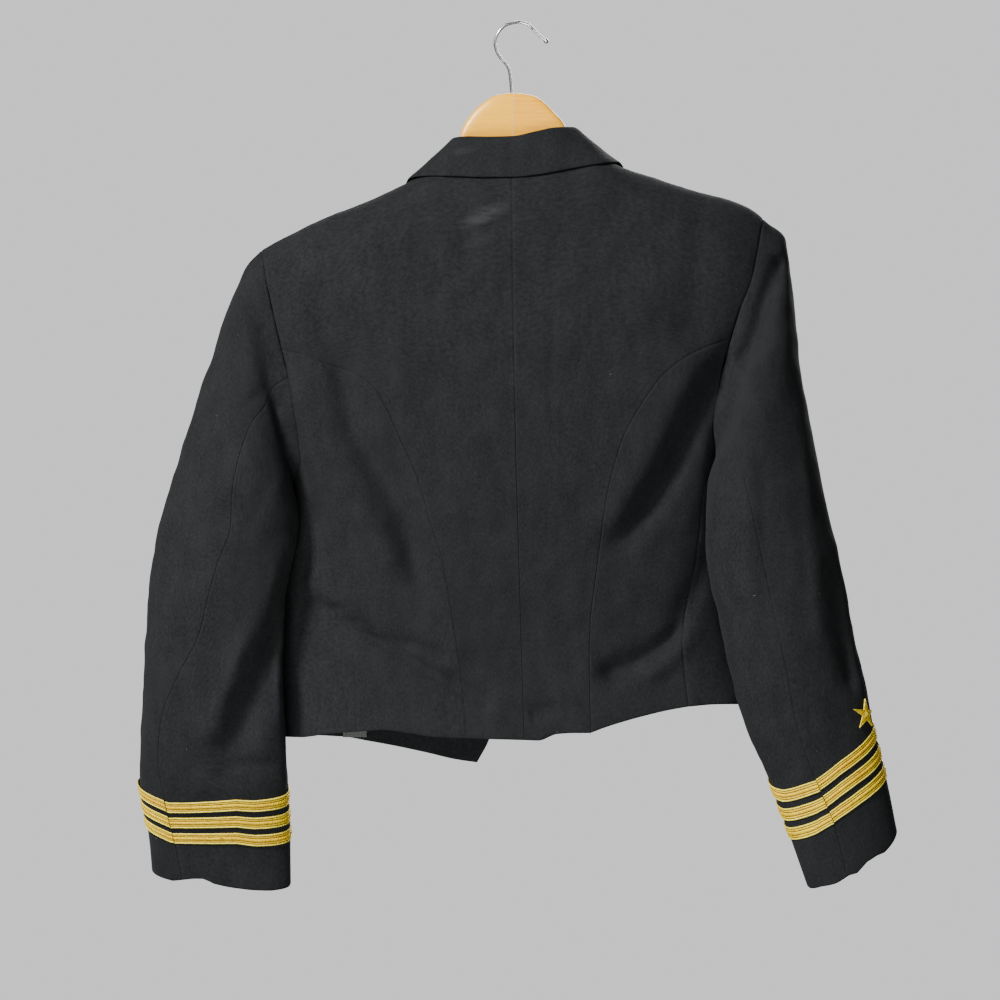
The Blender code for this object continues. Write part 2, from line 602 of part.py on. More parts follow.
def material(name, colour, roughness, metallic=0.0):
    made = bpy.data.materials.get(name)
    if made is None:
        made = bpy.data.materials.new(name)
        made.use_nodes = True
        shader = made.node_tree.nodes["Principled BSDF"]
        shader.inputs["Base Color"].default_value = (*colour, 1)
        shader.inputs["Roughness"].default_value = roughness
        shader.inputs["Metallic"].default_value = metallic
        made.diffuse_color = (*colour, 1)
    return made


def add_object(name, points, faces, look, round_faces=True):
    """Make a mesh object with its faces turned outwards."""
    mesh = bpy.data.meshes.new(name)
    mesh.from_pydata([tuple(point) for point in points], [], faces)
    work = bmesh.new()
    work.from_mesh(mesh)
    bmesh.ops.recalc_face_normals(work, faces=work.faces)
    work.to_mesh(mesh)
    work.free()
    mesh.materials.append(look)
    if round_faces:
        mesh.shade_smooth()
        mesh.set_sharp_from_angle(angle=math.radians(40))
    made = bpy.data.objects.new(name, mesh)
    jacket.objects.link(made)
    return made


def add_wall(name, outer, normals, look, thickness=CLOTH):
    shifted = seam_shift(outer, normals)
    points, faces = wall_mesh(shifted, shifted - normals * thickness * MM)
    return add_object(name, points, faces, look)


def make_cloth(wool):
    """All the sewn panels of the body and the sleeves."""
    grids = {}
    flips = {}
    for side in (LEFT, RIGHT):
        back, side_panel, front = body_panels(side)
        upper, under = sleeve_grids(side)
        names = ("back_", "side_", "front_", "upper_sleeve_", "under_sleeve_")
        for name, grid, flip in zip(names, (back, side_panel, front, upper, under), (1, 1, -1, 1, 1)):
            grids[name + side.name] = grid
            flips[name + side.name] = flip * side.sign
    normals = share_normals(grids, flips)
    for name, grid in grids.items():
        add_wall(name, grid, normals[name], wool)


def lapel_grid(side):
    """The lapel's outer face over the front."""
    right = side.sign < 0
    at = np.linspace(0, 1, LAPEL_ROWS + 1)
    roll = along(LAPEL_RIGHT_ROLL if right else LAPEL_LEFT_ROLL, at)
    edge = along(LAPEL_RIGHT_EDGE if right else LAPEL_LEFT_EDGE, at)
    grid = []
    for start, end in zip(roll, edge):
        row = []
        for share in np.linspace(0, 1, LAPEL_COLUMNS + 1):
            across, down = start + (end - start) * share
            point = body_point(body_angle(across, down, False, right), down)
            row.append(point - np.array([0, (LAPEL_CLEAR + CLOTH) * MM, 0]))
        grid.append(row)
    return np.array(grid)


def make_lapel(side, wool):
    grid = lapel_grid(side)
    normals = np.zeros_like(grid)
    normals[..., 1] = -1
    add_wall("lapel_" + side.name, grid, normals, wool)


def collar_frame(place, right, lift):
    """World point of a collar place; one that lies on the body is lifted off it."""
    across, down, depth = place
    if depth is None:
        on_back = lift[1]
        turn = body_angle(across, down, on_back, right)
        return body_point(turn, down, lift[0])
    return world(across, depth, down)


def make_collar(wool):
    """The stand rises from the neck seam, rolls over and falls outside it."""
    feet, rolls, edges = [], [], []
    middle = len(COLLAR) // 2
    for index, station in enumerate(COLLAR):
        right = index > middle
        on_back = 2 <= index <= len(COLLAR) - 3
        feet.append(collar_frame(station.foot, right, (0.0 if on_back else COLLAR_FOOT_CLEAR, on_back)))
        rolls.append(collar_frame(station.roll, right, (0.0, on_back)))
        edges.append(collar_frame(station.edge, right, (COLLAR_EDGE_CLEAR, on_back)))
    at = np.linspace(0, 1, COLLAR_STATIONS)
    table_at = np.linspace(0, 1, len(COLLAR))
    feet = smooth(table_at, np.array(feet), at)
    rolls = smooth(table_at, np.array(rolls), at)
    edges = smooth(table_at, np.array(edges), at)
    tangents = unit(np.gradient(rolls, axis=0))
    up = np.array([0, 0, 1.0])
    sections = []
    for foot, roll, edge, tangent in zip(feet, rolls, edges, tangents):
        stand_way = unit(roll - foot)
        out = unit(np.cross(tangent, stand_way))
        fall_way = unit(edge - roll)
        fall_out = unit(np.cross(fall_way, tangent))
        if np.dot(fall_out, out) < 0 and fall_out[2] < 0:
            fall_out = -fall_out
        foot_mid = foot + stand_way * 0.9 * MM - out * 1.0 * MM
        roll_mid = roll
        half = CLOTH / 2 * MM
        fall_top = roll + out * 2.6 * MM - stand_way * 0.5 * MM
        fall_mid = (fall_top + edge) / 2 + fall_out * 1.5 * MM
        sections.append([
            foot_mid - out * half,
            roll_mid - out * half - stand_way * 1.5 * MM,
            roll_mid - out * 0.2 * MM + stand_way * 0.6 * MM,
            roll_mid + out * 2.2 * MM + stand_way * 0.9 * MM,
            fall_top + out * 1.6 * MM,
            fall_mid + fall_out * CLOTH * MM,
            edge + fall_out * CLOTH * MM,
            edge,
            fall_mid,
            fall_top - out * 0.3 * MM - stand_way * 1.5 * MM,
            roll_mid + out * half - stand_way * 1.9 * MM,
            foot_mid + out * half,
        ])
    points, faces = loft_mesh(sections)
    add_object("collar", points, faces, wool)


def make_lace(side, gold):
    """Ribbed lace laid round the cuff from the elbow seam back to it."""
    profile = [(0, LACE_CLEAR), (0, LACE_BODY), (.11, LACE_RIB), (.24, LACE_BODY), (.34, LACE_RIB),
               (.66, LACE_RIB), (.76, LACE_BODY), (.89, LACE_RIB), (1, LACE_BODY), (1, LACE_CLEAR)]
    upper_ring, lower_ring = np.array(side.rings[-3]), np.array(side.rings[-2])
    for index, (start, end) in enumerate(lace_shares()):
        edges = []
        for share in (start, end):
            ring = Ring(*(upper_ring + (lower_ring - upper_ring) * share))
            upper_turns, under_turns = ring_turns(side, ring)
            turns = np.concatenate([upper_turns[:-1], under_turns])
            start_at = len(upper_turns) - 1
            turns = np.concatenate([turns[start_at:], turns[1:start_at + 1] + 2 * math.pi])
            edges.append(np.array([ring_point(ring, turn, side.folds) for turn in turns]))
        band = np.array(edges)
        run = np.gradient(band, axis=1)
        run[:, 0] = run[:, -1] = band[:, 1] - band[:, -2]
        outwards = unit(np.cross(band[1:] - band[:1], run)) * side.sign
        centre = band.reshape(-1, 3).mean(0)
        if ((band - centre) * outwards).sum() < 0:
            outwards = -outwards
        end_shift = unit(run[:, 0]) * SEAM_GAP / 2 * MM
        top, foot = band[0].copy(), band[1].copy()
        top[0], foot[0] = top[0] + end_shift[0], foot[0] + end_shift[1]
        top[-1], foot[-1] = top[-1] - end_shift[0], foot[-1] - end_shift[1]
        sections = []
        for column in range(band.shape[1]):
            sections.append([top[column] + (foot[column] - top[column]) * share
                             + outwards[0, column] * height * MM for share, height in profile])
        points, faces = loft_mesh(sections)
        add_object(f"lace_{side.name}_{index + 1}", points, faces, gold)


def make_star(side, gold):
    """A five-pointed star that follows the sleeve, one ray up."""
    lower, upper = np.array(side.rings[-3]), np.array(side.rings[-4])
    small = 0.01

    def spot(turn, share):
        ring = Ring(*(lower + (upper - lower) * share))
        return ring_point(ring, seam_turn(ring) - STAR_LEAN[side.name] + turn, [])

    middle = STAR_ABOVE_LACE * MM / np.linalg.norm(spot(0, 1) - spot(0, 0))
    beside = (spot(small, middle) - spot(0, middle)) / small
    above = (spot(0, middle + small) - spot(0, middle)) / small
    facing = unit(np.cross(beside, above))
    upwards = unit(np.array([0, 0, 1.0]) - facing * facing[2])
    sideways = np.cross(upwards, facing)
    to_sleeve = np.linalg.pinv(np.column_stack([beside, above]))

    def on_sleeve(x, y):
        turn, share = to_sleeve @ ((sideways * x + upwards * y) * MM)
        share += middle
        point = spot(turn, share)
        normal = unit(np.cross(spot(turn + small, share) - point, spot(turn, share + small) - point))
        ring = Ring(*(lower + (upper - lower) * share))
        core = (ring_point(ring, 0, []) + ring_point(ring, math.pi, [])) / 2
        if np.dot(normal, point - core) < 0:
            normal = -normal
        return point, normal

    rim = []
    for step in range(10):
        radius = STAR_RADIUS if step % 2 == 0 else STAR_WAIST
        angle = math.pi / 2 + step * math.pi / 5
        rim.append(on_sleeve(radius * math.cos(angle), radius * math.sin(angle)))
    centre = on_sleeve(0, 0)
    clear = STAR_CLEAR[side.name]
    points = [point + normal * clear * MM for point, normal in rim]
    points += [point + normal * (clear + STAR_EDGE) * MM for point, normal in rim]
    points.append(centre[0] + centre[1] * clear * MM)
    points.append(centre[0] + centre[1] * (clear + STAR_CREST) * MM)
    faces = []
    for step in range(10):
        after = (step + 1) % 10
        faces.append((step, after, 20))
        faces.append((10 + after, 10 + step, 21))
        faces.append((after, step, 10 + step, 10 + after))
    add_object("star_" + side.name, points, faces, gold, round_faces=False)


def make_button(name, across, down, right, gilt):
    """A plain domed button turned from a profile, on its short shank."""
    profile = [(0, 4.6), (5, 4.0), (8.8, 2.3), (BUTTON_RADIUS, 0.5), (10.2, 0), (2.2, 0), (2.2, -1.0),
               (0, -1.0)]
    mesh = bpy.data.meshes.new(name)
    points = [(x * MM, 0, z * MM) for x, z in profile]
    mesh.from_pydata(points, [(i, i + 1) for i in range(len(profile) - 1)], [])
    mesh.materials.append(gilt)
    made = bpy.data.objects.new(name, mesh)
    jacket.objects.link(made)
    turn = made.modifiers.new("Turned", "SCREW")
    turn.axis = "Z"
    turn.steps = BUTTON_STEPS
    turn.render_steps = BUTTON_STEPS
    turn.use_merge_vertices = True
    turn.merge_threshold = 0.00005
    turn.use_smooth_shade = True
    point = body_point(body_angle(across, down, False, right), down)
    made.location = (point[0], point[1] - BUTTON_OFF * MM, point[2])
    made.rotation_euler = (math.radians(90), 0, 0)


def make_arm(name, rows, wood):
    """One half of the hanger, from the joint at its middle out to its rounded end."""
    sections = []
    way = -1 if rows[-1][0] < rows[0][0] else 1
    for index, (across, top, bottom, depth, thick) in enumerate(rows):
        if index == 0:
            across += way * WOOD_JOINT
        ring = []
        for step in range(ARM_SIDES):
            angle = 2 * math.pi * step / ARM_SIDES
            s = power(math.sin(angle), 0.8)
            c = power(math.cos(angle), 0.7)
            ring.append(world(across, depth + thick / 2 * s, (top + bottom) / 2 - (bottom - top) / 2 * c))
        sections.append(ring)
    across, top, bottom, depth, thick = rows[-1]
    end = []
    for step in range(ARM_SIDES):
        angle = 2 * math.pi * step / ARM_SIDES
        end.append(world(across + way * 3, depth + thick / 4 * math.sin(angle),
                         (top + bottom) / 2 - (bottom - top) / 4 * math.cos(angle)))
    sections.append(end)
    points, faces = loft_mesh(sections)
    add_object(name, points, faces, wood)


def make_hook(chrome):
    """Wire bent to a hook, with a ball on its free end."""
    route = along(HOOK, np.linspace(0, 1, 30))
    curve = bpy.data.curves.new("hook_wire", "CURVE")
    curve.dimensions = "3D"
    curve.bevel_depth = WIRE_RADIUS * MM
    curve.bevel_resolution = 2
    curve.use_fill_caps = True
    spline = curve.splines.new("POLY")
    spline.points.add(len(route) - 1)
    for point, (across, down) in zip(spline.points, route):
        point.co = (*world(across, 0, down), 1)
    wire = bpy.data.objects.new("hook_wire", curve)
    jacket.objects.link(wire)
    bpy.context.view_layer.update()
    mesh = bpy.data.meshes.new_from_object(wire.evaluated_get(bpy.context.evaluated_depsgraph_get()))
    work = bmesh.new()
    work.from_mesh(mesh)
    bmesh.ops.remove_doubles(work, verts=work.verts, dist=0.00001)
    bmesh.ops.recalc_face_normals(work, faces=work.faces)
    work.to_mesh(mesh)
    work.free()
    mesh.materials.clear()
    mesh.materials.append(chrome)
    hook = bpy.data.objects.new("hook", mesh)
    jacket.objects.link(hook)
    bpy.data.objects.remove(wire)

    ball_mesh = bpy.data.meshes.new("hook_ball")
    work = bmesh.new()
    bmesh.ops.create_uvsphere(work, u_segments=12, v_segments=8, radius=BALL_RADIUS * MM)
    work.to_mesh(ball_mesh)
    work.free()
    ball = bpy.data.objects.new("hook_ball", ball_mesh)
    cutters.objects.link(ball)
    ball.location = world(HOOK[-1][0] + 1.2, 0, HOOK[-1][1] + 1.0)
    ball.hide_render = True
    ball.display_type = "WIRE"
    join = hook.modifiers.new("Ball tip", "BOOLEAN")
    join.operation = "UNION"
    join.solver = "EXACT"
    join.object = ball


def make_lining(look):
    """A strip of lining inside the left front, where the back hem rides above it."""
    rows = []
    for down in np.linspace(LINING_FOOT - LINING_HEIGHT, LINING_FOOT, 4):
        row = []
        for across in np.linspace(LINING_ACROSS[0], LINING_ACROSS[1], 4):
            point = body_point(body_angle(across, down, False), down)
            row.append(point + np.array([0, (CLOTH + LINING_OFF) * MM, 0]))
        rows.append(row)
    outer = np.array(rows)
    facing = np.zeros_like(outer)
    facing[..., 1] = 1
    points, faces = wall_mesh(outer, outer - facing * LINING_BODY * MM)
    add_object("lining_left", points, faces, look)


for old in list(bpy.data.objects):
    bpy.data.objects.remove(old)

jacket = bpy.data.collections.new("mess_jacket_on_hanger")
bpy.context.scene.collection.children.link(jacket)
cutters = bpy.data.collections.new("cutters")
bpy.context.scene.collection.children.link(cutters)

wool_look = material("black_wool", BLACK_WOOL, 0.9)
gold_look = material("gold_lace", GOLD_LACE, 0.45, 0.6)
gilt_look = material("gilt_brass", GILT, 0.25, 1.0)
wood_look = material("beech_wood", BEECH, 0.4)
chrome_look = material("chrome_wire", CHROME, 0.15, 1.0)
lining_look = material("satin_lining", LINING_GREY, 0.4)

make_cloth(wool_look)
make_collar(wool_look)
for garment_side in (LEFT, RIGHT):
    make_lapel(garment_side, wool_look)
    make_lace(garment_side, gold_look)
    make_star(garment_side, gold_look)
    for number, place in enumerate(BUTTON_PLACES[garment_side.name], 1):
        button_name = f"button_{garment_side.name}_{number}"
        make_button(button_name, place[0], place[1], garment_side.sign < 0, gilt_look)
make_arm("hanger_left", ARM_LEFT, wood_look)
make_arm("hanger_right", ARM_RIGHT, wood_look)
make_hook(chrome_look)
make_lining(lining_look)
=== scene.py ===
import math
from collections import namedtuple

import bmesh
import bpy
import numpy as np
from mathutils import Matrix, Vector


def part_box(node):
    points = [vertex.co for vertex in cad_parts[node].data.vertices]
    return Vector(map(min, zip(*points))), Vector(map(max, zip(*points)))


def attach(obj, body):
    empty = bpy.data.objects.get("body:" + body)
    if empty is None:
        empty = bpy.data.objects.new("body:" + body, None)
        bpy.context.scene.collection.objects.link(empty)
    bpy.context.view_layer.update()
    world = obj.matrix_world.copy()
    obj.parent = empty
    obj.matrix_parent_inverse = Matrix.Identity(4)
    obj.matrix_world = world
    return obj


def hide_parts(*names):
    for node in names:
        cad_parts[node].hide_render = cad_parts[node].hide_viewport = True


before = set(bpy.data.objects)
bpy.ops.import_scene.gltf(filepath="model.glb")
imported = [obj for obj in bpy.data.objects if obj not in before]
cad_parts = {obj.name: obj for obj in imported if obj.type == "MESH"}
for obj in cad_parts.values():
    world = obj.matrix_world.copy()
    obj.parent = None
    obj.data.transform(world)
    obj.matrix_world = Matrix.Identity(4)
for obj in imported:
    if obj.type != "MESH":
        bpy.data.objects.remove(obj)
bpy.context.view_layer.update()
bpy.ops.object.select_all(action="DESELECT")

# Camera and light
# The jacket is seen square from behind through a long lens, in soft studio light.
CAMERA_FAR = 8.0
FRAME_WIDE = 1.0
view_centre = Vector((0.019, 0.0, -0.476))
bpy.ops.object.camera_add(location=view_centre + Vector((0, CAMERA_FAR, 0)),
                          rotation=(math.pi / 2, 0, math.pi))
camera = bpy.context.object
camera.name = "camera_behind"
camera.data.sensor_width = 36
camera.data.lens = 36 * CAMERA_FAR / FRAME_WIDE
camera.data.clip_end = 60
bpy.context.scene.camera = camera


def soft_light(name, place, aim, size, power):
    """A square studio light that faces a point."""
    bpy.ops.object.light_add(type="AREA", location=place)
    lamp = bpy.context.object
    lamp.name = name
    lamp.data.shape = "SQUARE"
    lamp.data.size = size
    lamp.data.energy = power
    lamp.rotation_euler = (Vector(aim) - Vector(place)).to_track_quat("-Z", "Y").to_euler()


soft_light("key_light", (2.2, 2.4, 1.8), (0, 0, -0.45), 0.7, 300)
soft_light("fill_light", (-1.2, 3.4, 0.3), (0, 0, -0.4), 2.0, 18)
soft_light("low_light", (0.9, 2.6, -1.8), (0, 0, -0.6), 1.4, 80)
soft_light("front_light", (-0.8, -2.8, 1.0), (0, 0, -0.4), 2.2, 190)

# The room lights the jacket faintly and evenly, and is seen as a pale backdrop.
world = bpy.data.worlds.new("pale_room")
bpy.context.scene.world = world
world.use_nodes = True
room = world.node_tree
room_light = room.nodes["Background"]
room_light.inputs["Color"].default_value = (0.78, 0.78, 0.79, 1)
room_light.inputs["Strength"].default_value = 0.20
backdrop = room.nodes.new("ShaderNodeBackground")
backdrop.inputs["Color"].default_value = (0.80, 0.80, 0.81, 1)
backdrop.inputs["Strength"].default_value = 1.15
seen_straight = room.nodes.new("ShaderNodeLightPath")
either = room.nodes.new("ShaderNodeMixShader")
room.links.new(seen_straight.outputs["Is Camera Ray"], either.inputs[0])
room.links.new(room_light.outputs[0], either.inputs[1])
room.links.new(backdrop.outputs[0], either.inputs[2])
room.links.new(either.outputs[0], room.nodes["World Output"].inputs["Surface"])

# Black wool twill
# A fine, slightly napped worsted: near black, faintly worn, with a little lint, painted glints on
# the nap and a few chalky rubs on and under the collar. The twill, yarn and grain follow each panel's own
# cut.
WOOL_DARK = (0.0040, 0.0044, 0.0047, 1)
WOOL_WORN = (0.0200, 0.0213, 0.0222, 1)
LINT_AND_GLINT_GREY = (0.16, 0.165, 0.16, 1)
CHALK_GREY = (0.050, 0.051, 0.051, 1)
TWILL_PITCH = 0.0011


def new_material(name):
    made = bpy.data.materials.new(name)
    made.use_nodes = True
    return made, made.node_tree, made.node_tree.nodes["Principled BSDF"]


def add_node(tree, kind, **settings):
    node = tree.nodes.new(kind)
    for key, value in settings.items():
        setattr(node, key, value)
    return node


def join(tree, source, target):
    tree.links.new(source, target)


def mix_colours(tree, factor, first, second):
    """A colour mix whose two ends are colours or sockets."""
    mix = add_node(tree, "ShaderNodeMix", data_type="RGBA")
    join(tree, factor, mix.inputs[0])
    for socket, value in ((mix.inputs[6], first), (mix.inputs[7], second)):
        if isinstance(value, tuple):
            socket.default_value = value
        else:
            join(tree, value, socket)
    return mix.outputs[2]


def sum_up(tree, operation, first, second):
    """A math node on a socket and a number or socket."""
    node = add_node(tree, "ShaderNodeMath", operation=operation)
    join(tree, first, node.inputs[0])
    if isinstance(second, (int, float)):
        node.inputs[1].default_value = second
    else:
        join(tree, second, node.inputs[1])
    return node.outputs[0]


def stretch(tree, source, low, high, to_low=0.0, to_high=1.0):
    """Read a socket from one range onto another, clamped."""
    node = add_node(tree, "ShaderNodeMapRange", clamp=True, interpolation_type="SMOOTHSTEP")
    join(tree, source, node.inputs["Value"])
    node.inputs["From Min"].default_value = low
    node.inputs["From Max"].default_value = high
    node.inputs["To Min"].default_value = to_low
    node.inputs["To Max"].default_value = to_high
    return node.outputs["Result"]


def noise(tree, place, scale, detail=2.0, roughness=0.5):
    node = add_node(tree, "ShaderNodeTexNoise")
    join(tree, place, node.inputs["Vector"])
    node.inputs["Scale"].default_value = scale
    node.inputs["Detail"].default_value = detail
    node.inputs["Roughness"].default_value = roughness
    return node.outputs["Fac"]


def turned(tree, place, rotation=(0, 0, 0), scale=(1, 1, 1), location=(0, 0, 0), kind="POINT"):
    node = add_node(tree, "ShaderNodeMapping", vector_type=kind)
    join(tree, place, node.inputs["Vector"])
    node.inputs["Rotation"].default_value = rotation
    node.inputs["Scale"].default_value = scale
    node.inputs["Location"].default_value = location
    return node.outputs["Vector"]


def object_place(tree):
    return add_node(tree, "ShaderNodeTexCoord").outputs["Object"]


def cut_place(tree):
    """The place on a piece's own cut, in metres."""
    return add_node(tree, "ShaderNodeUVMap", uv_map="cut").outputs["UV"]


def ribs(tree, place, pitch, distortion=0.0):
    """Even waves across X, one to a pitch."""
    node = add_node(tree, "ShaderNodeTexWave", wave_type="BANDS", bands_direction="X", wave_profile="SIN")
    join(tree, place, node.inputs["Vector"])
    node.inputs["Scale"].default_value = 2 * math.pi / (20 * pitch)
    node.inputs["Distortion"].default_value = distortion
    return node.outputs["Fac"]


def raise_surface(tree, shader, height, strength, distance):
    bump = add_node(tree, "ShaderNodeBump")
    join(tree, height, bump.inputs["Height"])
    bump.inputs["Strength"].default_value = strength
    bump.inputs["Distance"].default_value = distance
    join(tree, bump.outputs["Normal"], shader.inputs["Normal"])


wool, tree, shader = new_material("black_wool_twill")
cut = cut_place(tree)
place = object_place(tree)
twill = ribs(tree, turned(tree, cut, rotation=(0, 0, math.radians(62))), TWILL_PITCH, 0.6)
yarn = noise(tree, turned(tree, cut, scale=(700, 2400, 700)), 1.0, 2.0)
nap = noise(tree, place, 1500, 3.0, 0.7)
wear = noise(tree, turned(tree, place, scale=(60, 60, 22)), 1.0, 6.0, 0.7)
grain = noise(tree, turned(tree, cut, scale=(420, 260, 420)), 1.0, 3.0, 0.75)
fade = sum_up(tree, "MULTIPLY", stretch(tree, wear, 0.25, 0.75), 0.30)
fade = sum_up(tree, "ADD", fade, sum_up(tree, "MULTIPLY", stretch(tree, grain, 0.25, 0.75), 0.50))
fade = sum_up(tree, "ADD", fade, sum_up(tree, "MULTIPLY", stretch(tree, nap, 0.3, 0.7), 0.20))
cloth_colour = mix_colours(tree, fade, WOOL_DARK, WOOL_WORN)
cloth_colour = mix_colours(tree, stretch(tree, twill, 0.55, 1.0, 0.0, 0.25), cloth_colour, WOOL_WORN)

lint = add_node(tree, "ShaderNodeTexVoronoi", feature="F1")
lint_place = add_node(tree, "ShaderNodeVectorMath", operation="ADD")
lint_bend = add_node(tree, "ShaderNodeTexNoise")
join(tree, place, lint_bend.inputs["Vector"])
lint_bend.inputs["Scale"].default_value = 160
lint_shift = add_node(tree, "ShaderNodeVectorMath", operation="SCALE")
join(tree, lint_bend.outputs["Color"], lint_shift.inputs[0])
lint_shift.inputs["Scale"].default_value = 0.012
join(tree, place, lint_place.inputs[0])
join(tree, lint_shift.outputs[0], lint_place.inputs[1])
join(tree, lint_place.outputs[0], lint.inputs["Vector"])
lint.inputs["Scale"].default_value = 62
lint_pick = add_node(tree, "ShaderNodeSeparateColor")
join(tree, lint.outputs["Color"], lint_pick.inputs[0])
rare = stretch(tree, lint_pick.outputs[0], 0.80, 0.82)
speck = sum_up(tree, "MULTIPLY", stretch(tree, lint.outputs["Distance"], 0.024, 0.040, 1.0, 0.0), rare)
cloth_colour = mix_colours(tree, sum_up(tree, "MULTIPLY", speck, 0.55), cloth_colour, LINT_AND_GLINT_GREY)
# Painted glints: the highest specks of the nap are painted towards the pale lint grey, as tiny highlights
cloth_colour = mix_colours(tree, stretch(tree, nap, 0.60, 0.76, 0.0, 0.22), cloth_colour, LINT_AND_GLINT_GREY)

# Centre, half sizes, lean in degrees and strength of each chalky rub
CHALK_RUBS = [((0.036, 0.045, -0.1930), (0.037, 0.05, 0.011), 22, 0.55),
              ((0.040, 0.050, -0.2180), (0.024, 0.05, 0.010), 18, 0.20),
              ((0.054, 0.025, -0.1270), (0.020, 0.05, 0.006), 12, 0.22)]
outside = add_node(tree, "ShaderNodeSeparateXYZ")
join(tree, add_node(tree, "ShaderNodeTexCoord").outputs["Normal"], outside.inputs[0])
for centre, half_sizes, lean, strength in CHALK_RUBS:
    rotation = (0, math.radians(lean), 0)
    rub = add_node(tree, "ShaderNodeTexGradient", gradient_type="SPHERICAL")
    join(tree, turned(tree, place, rotation, half_sizes, centre, "TEXTURE"), rub.inputs["Vector"])
    streaks = noise(tree, turned(tree, place, rotation, (45, 45, 190)), 1.0, 6.0, 0.7)
    chalk = stretch(tree, rub.outputs["Fac"], 0.0, 0.7)
    chalk = sum_up(tree, "MULTIPLY", chalk, stretch(tree, streaks, 0.25, 0.75))
    chalk = sum_up(tree, "MULTIPLY", chalk, stretch(tree, outside.outputs["Y"], 0.0, 0.2))
    cloth_colour = mix_colours(tree, sum_up(tree, "MULTIPLY", chalk, strength), cloth_colour, CHALK_GREY)
join(tree, cloth_colour, shader.inputs["Base Color"])
join(tree, stretch(tree, nap, 0.2, 0.8, 0.78, 0.95), shader.inputs["Roughness"])
shader.inputs["Specular IOR Level"].default_value = 0.07
shader.inputs["Sheen Weight"].default_value = 0.03
shader.inputs["Sheen Roughness"].default_value = 0.45
shader.inputs["Sheen Tint"].default_value = (0.9, 0.9, 0.95, 1)
weave = sum_up(tree, "ADD", twill, sum_up(tree, "MULTIPLY", yarn, 0.8))
weave = sum_up(tree, "ADD", weave, sum_up(tree, "MULTIPLY", nap, 0.9))
raise_surface(tree, shader, weave, 0.55, 0.00022)

# The body of the jacket
# Two backs, two side backs and two fronts of wool, seamed together down the centre back, the
# curved princess lines and the sides. It hangs from the shoulders, so its folds run down from
# them to a break at the waist. Places are read from a flat drawing of the back in millimetres:
# across from the left and down from the top.
CROWN_ACROSS = 519
CROWN_DOWN = 24
CLOTH = 0.0017
SHOULDER_ROUND = 55.0
SEAM_DIP = 0.0007
SEAM_REACH = 0.0013

Level = namedtuple("Level", "down left right middle back front back_square front_square")
LEVELS = [
    Level(120, 255, 775, 0, 38, 30, 3.0, 4.0),
    Level(165, 252, 777, 0, 41, 32, 3.0, 4.0),
    Level(200, 250, 778, -4, 47, 32, 3.0, 4.0),
    Level(260, 252, 772, -9, 55, 32, 3.0, 4.0),
    Level(324, 258, 757, -10, 59, 35, 3.0, 4.0),
    Level(386, 268, 737, -10, 60, 37, 2.9, 3.6),
    Level(437, 282, 718, -9, 59, 38, 2.6, 3.4),
    Level(482, 291, 713.5, -9, 58, 38, 2.3, 3.2),
    Level(510, 290, 714.5, -12, 59, 35, 2.2, 3.0),
    Level(545, 288, 714.5, -17, 60, 32, 2.2, 3.0),
    Level(600, 280, 722, -22, 62, 28, 2.2, 3.0),
    Level(650, 278, 734, -24, 60, 27, 2.3, 3.0),
    Level(700, 279, 747, -24, 62, 26, 2.4, 3.0),
    Level(740, 281, 755, -24, 64, 26, 2.5, 3.0),
    Level(775, 282, 758, -24, 64, 26, 2.5, 3.0),
]
RIDGE = [(236, 268), (261, 251), (278, 240), (297, 230), (319, 220), (346, 210), (369, 200), (404, 184.5),
         (440, 169), (512, 161), (590, 154.5), (624, 167), (662, 180), (695, 190), (729, 200),
         (752, 210.5), (763, 219), (780, 238)]

